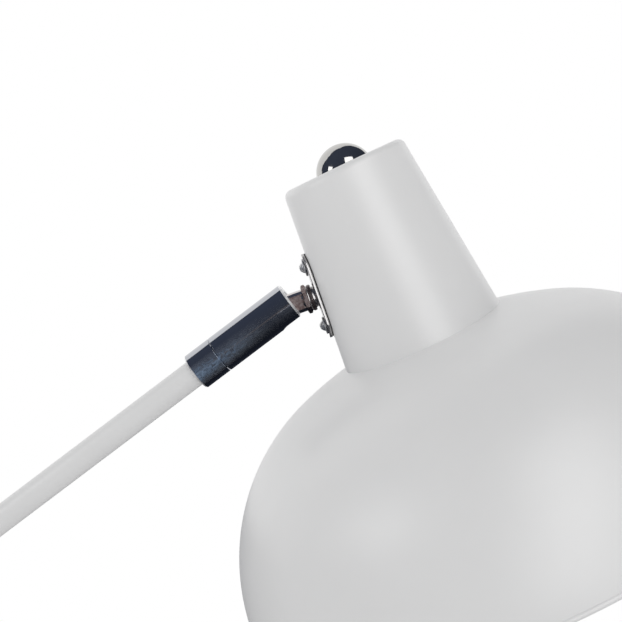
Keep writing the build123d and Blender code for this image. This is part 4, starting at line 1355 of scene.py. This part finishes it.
class LAMP_OT_lampholder(bpy.types.Operator):
    """Make the lampholder's skirt with its thread and the ring that clamps the dome"""

    bl_idname = "lamp.lampholder"
    bl_label = "Lampholder"
    bl_options = {"REGISTER", "UNDO"}

    PITCH = 2.5 * MM
    THREAD_START = 0.4 * MM
    THREAD_DEPTH = 0.55 * MM
    THREAD_FLANK = 0.9 * MM
    THREAD_CREST = 0.4 * MM
    # How far the skirt stands back from its thread at the lower end and at the flange.
    LEAD_IN = 0.6 * MM
    RUN_OUT = 0.5 * MM
    INNER_STEP = 6 * MM
    RING_BEVEL = 1.5 * MM
    RING_MOUTH = 0.5 * MM
    # Grip of the ring: its ribs lie in a band of this depth under the ring's outside.
    RIBS = 54
    RIB_SEGMENTS = 8
    RIB_BAND = 0.8 * MM
    RIB_DEPTH = 0.5 * MM

    def execute(self, context):
        size = context.scene.lamp_head
        place = head_frame(size)
        flat = crown_height(size, size.flat_radius)
        under = flat - size.neck_wall
        bottom = under - size.skirt_below
        body = flat + size.skirt_flange_height
        top = body + size.body_height
        step = body + self.INNER_STEP
        thread = [(size.skirt_radius - self.LEAD_IN, bottom)]
        root = size.skirt_radius - self.THREAD_DEPTH
        for number in range(int((under - bottom) / self.PITCH)):
            low = bottom + self.THREAD_START + number * self.PITCH
            crest = low + self.THREAD_FLANK
            crest_end = crest + self.THREAD_CREST
            thread += [(root, low), (size.skirt_radius, crest), (size.skirt_radius, crest_end)]
            thread.append((root, crest_end + self.THREAD_FLANK))
        outline = thread + [
            (size.skirt_radius - self.RUN_OUT, flat),
            (size.skirt_flange, flat),
            (size.skirt_flange, body),
            (size.body_radius, body),
            (size.body_radius, top),
            (size.body_inner, top),
            (size.body_inner, step),
            (size.skirt_inner, step),
            (size.skirt_inner, bottom),
        ]
        wear(turned("holder_thread", outline, place), "head", "white_plastic", "holder_skirt")
        hole = size.skirt_radius + FIT
        low = under - size.ring_height
        ring = [
            (hole, low, self.RING_MOUTH),
            (size.ring_radius - self.RING_BEVEL, low, SOFT_EDGE),
            (size.ring_radius, low + self.RING_BEVEL, SOFT_EDGE),
            (size.ring_radius, under, PLAIN_EDGE),
            (hole, under),
        ]
        piece = lathe("clamp_ring", ring, place, self.RIBS * self.RIB_SEGMENTS)
        for vertex in piece.data.vertices:
            out = vertex.co.xy.length
            if out > size.ring_radius - self.RIB_BAND:
                wave = 0.5 + 0.5 * cos(self.RIBS * atan2(vertex.co.y, vertex.co.x))
                vertex.co.xy *= 1 - self.RIB_DEPTH * wave**3 / out
        wear(piece, "head", "white_plastic", "shade_ring")
        return {"FINISHED"}


class LAMP_OT_bulb(bpy.types.Operator):
    """Make the bulb's screw cap and its opal glass"""

    bl_idname = "lamp.bulb"
    bl_label = "Bulb"
    bl_options = {"REGISTER", "UNDO"}

    CAP_WALL = 0.8 * MM
    TIP_EDGE = 0.6 * MM
    PITCH = 3.6 * MM
    THREAD_START = 0.8 * MM
    THREAD_DEPTH = 0.9 * MM
    TURNS = 4
    TURN_STEPS = 12
    # The cap's plain hem under its thread, and how much narrower it is at its top.
    HEM = 3 * MM
    HEM_TAPER = 0.2 * MM
    GLOBE_STEPS = 48
    BLEND_STEPS = 6

    def execute(self, context):
        size = context.scene.lamp_head
        place = head_frame(size)
        top = size.cap_top
        shoulder = top - size.tip_height
        slope_end = shoulder - size.cap_slope
        bottom = shoulder - size.cap_length
        cap = [
            (0, top),
            (size.tip_radius - self.TIP_EDGE, top),
            (size.tip_radius, top - self.TIP_EDGE),
            (size.tip_radius, shoulder),
            (size.cap_radius - self.THREAD_DEPTH, slope_end),
        ]
        for step in range(self.TURNS * self.TURN_STEPS + 1):
            turn = step / self.TURN_STEPS
            wave = 0.5 - 0.5 * cos(2 * pi * turn)
            height = slope_end - self.THREAD_START - self.PITCH * turn
            cap.append((size.cap_radius - self.THREAD_DEPTH * (1 - wave), height))
        cap += [
            (size.cap_radius - self.HEM_TAPER, bottom + self.HEM),
            (size.cap_radius, bottom),
            (size.cap_radius - self.CAP_WALL, bottom),
            (size.cap_radius - 2 * self.CAP_WALL, slope_end),
            (0, slope_end),
        ]
        wear(turned("screw_cap", cap, place, closed=False), "head", "zinc_steel", "bulb_cap")
        outline = self.glass(size, bottom, 0) + self.glass(size, bottom, size.glass_wall)[::-1]
        wear(turned("opal_bulb", outline, place, closed=False), "head", "glass", "bulb_glass")
        return {"FINISHED"}

    def glass(self, size, bottom, inset):
        """A face of the bulb's glass, from the globe's lowest point to its seat in the cap."""
        neck = size.glass_neck - inset
        ball = size.globe_radius - inset
        meet = atan2(neck, size.globe_drop) + acos(ball / sqrt(neck**2 + size.globe_drop**2))
        globe = arc((0, bottom - size.globe_drop), ball, -pi / 2, pi / 2 - meet, self.GLOBE_STEPS)
        start = Vector(globe[-1])
        end = Vector((neck, bottom))
        blend = [tuple(start.lerp(end, step / self.BLEND_STEPS)) for step in range(1, self.BLEND_STEPS)]
        return globe + blend + [(neck, bottom), (neck, bottom + size.glass_seat)]


class LAMP_OT_inner(bpy.types.Operator):
    """Give each piece that is kept from the frame its finish"""

    bl_idname = "lamp.inner"
    bl_label = "Inner pieces"
    bl_options = {"REGISTER", "UNDO"}

    def execute(self, context):
        for node, piece in frame["nodes"].items():
            piece.data.materials.clear()
            piece.data.materials.append(finish(SLOTS[node]))
        return {"FINISHED"}


class LAMP_OT_stage(bpy.types.Operator):
    """Make the floor, the lights, the room and the camera"""

    bl_idname = "lamp.stage"
    bl_label = "Stage"
    bl_options = {"REGISTER", "UNDO"}

    SENSOR_WIDTH = 36
    CLIP_START = 0.01
    # Distances from the ball: the softboxes', the dark tent's, and the panels' as a share of the tent's.
    SOFTBOX_DISTANCE = 2.0
    TENT = 1.55
    PANEL_SHARE = 0.74
    PANEL_THICKNESS = 2 * MM
    # Sides of the window in the tent's back. Each has a direction, as x to the left and z up, and how many
    # degrees the window reaches that way from straight behind the ball.
    WINDOW_SIDES = (
        (0.98, 0.2, 71),
        (0.71, 0.71, 78),
        (0.16, 0.99, 68),
        (-0.58, 0.82, 48),
        (-1, 0, 50),
        (0, -1, 13),
    )
    # The floor's middle, a hair under the pad, and the shares of its radius where it fades.
    FLOOR_PLACE = (0.35, 0, -0.2 * MM)
    FADE_START = 0.55
    FADE_END = 0.98

    def execute(self, context):
        scene = context.scene
        stage = scene.lamp_stage
        scene.view_settings.view_transform = "Standard"
        self.floor(stage)
        self.screen(stage)
        self.room(scene, stage)
        self.softbox("key_softbox", (0.33, -0.80, 0.50), 1.2, stage.key_power)
        self.softbox("side_softbox", (-0.86, -0.40, 0.30), 0.8, stage.side_power)
        self.panel("key_panel", (0.297, -0.864, 0.407), (0.66, 1.80), stage.panel, stage.panel_glow)
        self.panel("side_panel", (-0.86, -0.42, 0.24), (0.36, 0.34), stage.panel, stage.panel_glow)
        along_arm = atan2(ARM_WAY.z, ARM_WAY.x)
        self.panel("warm_panel", (-0.01, -1, -0.167), (0.36, 0.11), stage.warm, 1.0, along_arm)
        camera = bpy.data.cameras.new("photo_camera")
        camera.lens = stage.lens
        camera.sensor_width = self.SENSOR_WIDTH
        camera.clip_start = self.CLIP_START
        viewer = bpy.data.objects.new("photo_camera", camera)
        viewer.location = stage.camera_place
        viewer.rotation_euler = (pi / 2 - stage.camera_pitch, 0, 0)
        scene.collection.objects.link(viewer)
        scene.camera = viewer
        return {"FINISHED"}

    def softbox(self, name, way, side, power):
        """A square soft lamp that faces the ball from a direction."""
        light = bpy.data.lights.new(name, "AREA")
        light.shape = "SQUARE"
        light.size = side
        light.energy = power
        lamp = bpy.data.objects.new(name, light)
        way = Vector(way).normalized()
        lamp.location = BALL + way * self.SOFTBOX_DISTANCE
        lamp.rotation_euler = way.to_track_quat("Z", "Y").to_euler()
        lamp.visible_glossy = False
        bpy.context.scene.collection.objects.link(lamp)

    def panel(self, name, way, size, tone, strength, roll=0.0):
        """A glowing sheet in front of the screen, which only glossy surfaces see."""
        way = Vector(way).normalized()
        place = frame_at(BALL + way * self.TENT * self.PANEL_SHARE, FLOOR_UP.cross(way), way)
        place = place @ Matrix.Rotation(roll, 4, "Z")
        self.mirrored_only(slab(name, oblong(*size), 0, self.PANEL_THICKNESS, place), tone, strength)

    def mirrored_only(self, piece, tone, strength):
        """Give a stage piece a plain glow that glossy rays alone meet."""
        cloth = bpy.data.materials.new(piece.name)
        cloth.use_nodes = True
        tree = cloth.node_tree
        tree.nodes.clear()
        glow = tree.nodes.new("ShaderNodeEmission")
        glow.inputs["Color"].default_value = (*tone, 1)
        glow.inputs["Strength"].default_value = strength
        output = tree.nodes.new("ShaderNodeOutputMaterial")
        tree.links.new(glow.outputs["Emission"], output.inputs["Surface"])
        piece.data.materials.append(cloth)
        for ray in ("camera", "diffuse", "shadow", "transmission", "volume_scatter"):
            setattr(piece, "visible_" + ray, False)
        return tree, glow

    def sloped(self, tree, coordinates, slope, middle):
        """A strength that grows along a direction, from its value in the middle."""
        place = tree.nodes.new("ShaderNodeTexCoord")
        along = tree.nodes.new("ShaderNodeVectorMath")
        along.operation = "DOT_PRODUCT"
        along.inputs[1].default_value = slope
        tree.links.new(place.outputs[coordinates], along.inputs[0])
        total = tree.nodes.new("ShaderNodeMath")
        total.inputs[1].default_value = middle
        tree.links.new(along.outputs["Value"], total.inputs[0])
        return total.outputs["Value"]

    def floor(self, stage):
        """A round pale floor that fades out into the white room."""
        radius = stage.floor_radius
        ground = turned("studio_floor", [(0, 0), (radius / 2, 0), (radius, 0)], closed=False)
        ground.location = self.FLOOR_PLACE
        surface = Finish("pale_floor", stage.floor)
        surface.put("Roughness", 0.7)
        surface.patches(darker(stage.floor, 0.985), 3, 3)
        tree = surface.tree
        distance = tree.nodes.new("ShaderNodeVectorMath")
        distance.operation = "LENGTH"
        tree.links.new(surface.place, distance.inputs[0])
        fade_start, fade_end = radius * self.FADE_START, radius * self.FADE_END
        fade = surface.spread(distance.outputs["Value"], 0, 1, fade_start, fade_end)
        clear = tree.nodes.new("ShaderNodeBsdfTransparent")
        mix = tree.nodes.new("ShaderNodeMixShader")
        tree.links.new(fade, mix.inputs["Fac"])
        tree.links.new(surface.shader.outputs["BSDF"], mix.inputs[1])
        tree.links.new(clear.outputs["BSDF"], mix.inputs[2])
        tree.links.new(mix.outputs["Shader"], tree.nodes["Material Output"].inputs["Surface"])
        ground.data.materials.append(surface.material)

    def screen(self, stage):
        """A dark tent with a window to the white room behind the lamp, which only glossy surfaces see."""
        shape = bmesh.new()
        bmesh.ops.create_uvsphere(shape, u_segments=144, v_segments=96, radius=self.TENT)
        window = []
        for face in shape.faces:
            way = face.calc_center_median().normalized()
            across = Vector((-way.x, way.z)).normalized() * degrees(acos(way.y))
            if all(across.dot(Vector((x, z))) < reach for x, z, reach in self.WINDOW_SIDES):
                window.append(face)
        bmesh.ops.delete(shape, geom=window, context="FACES")
        tent = to_object("studio_screen", shape, Matrix.Translation(BALL))
        tree, glow = self.mirrored_only(tent, stage.screen, 1.0)
        slope = below(ARM_WAY) * (-stage.screen_slope / self.TENT)
        tree.links.new(self.sloped(tree, "Object", slope, 1), glow.inputs["Strength"])

    def room(self, scene, stage):
        """White where it is seen or mirrored, a plain soft light on everything else."""
        world = bpy.data.worlds.new("white_room")
        world.use_nodes = True
        scene.world = world
        tree = world.node_tree
        light = tree.nodes["Background"]
        light.inputs["Color"].default_value = (1, 1, 1, 1)
        path = tree.nodes.new("ShaderNodeLightPath")
        seen = path.outputs["Is Camera Ray"]
        for ray in ("Is Glossy Ray", "Is Transmission Ray"):
            either = tree.nodes.new("ShaderNodeMath")
            either.operation = "MAXIMUM"
            tree.links.new(seen, either.inputs[0])
            tree.links.new(path.outputs[ray], either.inputs[1])
            seen = either.outputs[0]
        strength = tree.nodes.new("ShaderNodeMix")
        strength.inputs["B"].default_value = 1
        tree.links.new(seen, strength.inputs["Factor"])
        tree.links.new(self.sloped(tree, "Generated", stage.slope, stage.ambient), strength.inputs["A"])
        tree.links.new(strength.outputs["Result"], light.inputs["Strength"])


OPERATORS = (
    LAMP_OT_stage,
    LAMP_OT_inner,
    LAMP_OT_base,
    LAMP_OT_pole,
    LAMP_OT_swivel,
    LAMP_OT_arc,
    LAMP_OT_sleeve,
    LAMP_OT_stem,
    LAMP_OT_plate,
    LAMP_OT_neck,
    LAMP_OT_dome,
    LAMP_OT_lampholder,
    LAMP_OT_bulb,
)


class LAMP_PT_pieces(bpy.types.Panel):
    """Lists the lamp's sizes, finishes and pieces."""

    bl_idname = "LAMP_PT_pieces"
    bl_label = "Arc Floor Lamp"
    bl_space_type = "VIEW_3D"
    bl_region_type = "UI"
    bl_category = "Lamp"

    def draw(self, context):
        for name, group in SETTINGS.items():
            box = self.layout.box()
            box.label(text=group.__doc__)
            for prop in group.__annotations__:
                box.prop(getattr(context.scene, name), prop)
        for operator in OPERATORS:
            self.layout.operator(operator.bl_idname)


CLASSES = (*SETTINGS.values(), *OPERATORS, LAMP_PT_pieces)


def register():
    for cls in CLASSES:
        bpy.utils.register_class(cls)
    for name, group in SETTINGS.items():
        setattr(bpy.types.Scene, name, bpy.props.PointerProperty(type=group))


def unregister():
    for name in SETTINGS:
        delattr(bpy.types.Scene, name)
    for cls in reversed(CLASSES):
        bpy.utils.unregister_class(cls)


def main():
    """Make the lamp and its stage."""
    register()
    for operator in OPERATORS:
        getattr(bpy.ops.lamp, operator.bl_idname.split(".")[1])()


if __name__ == "__main__":
    main()
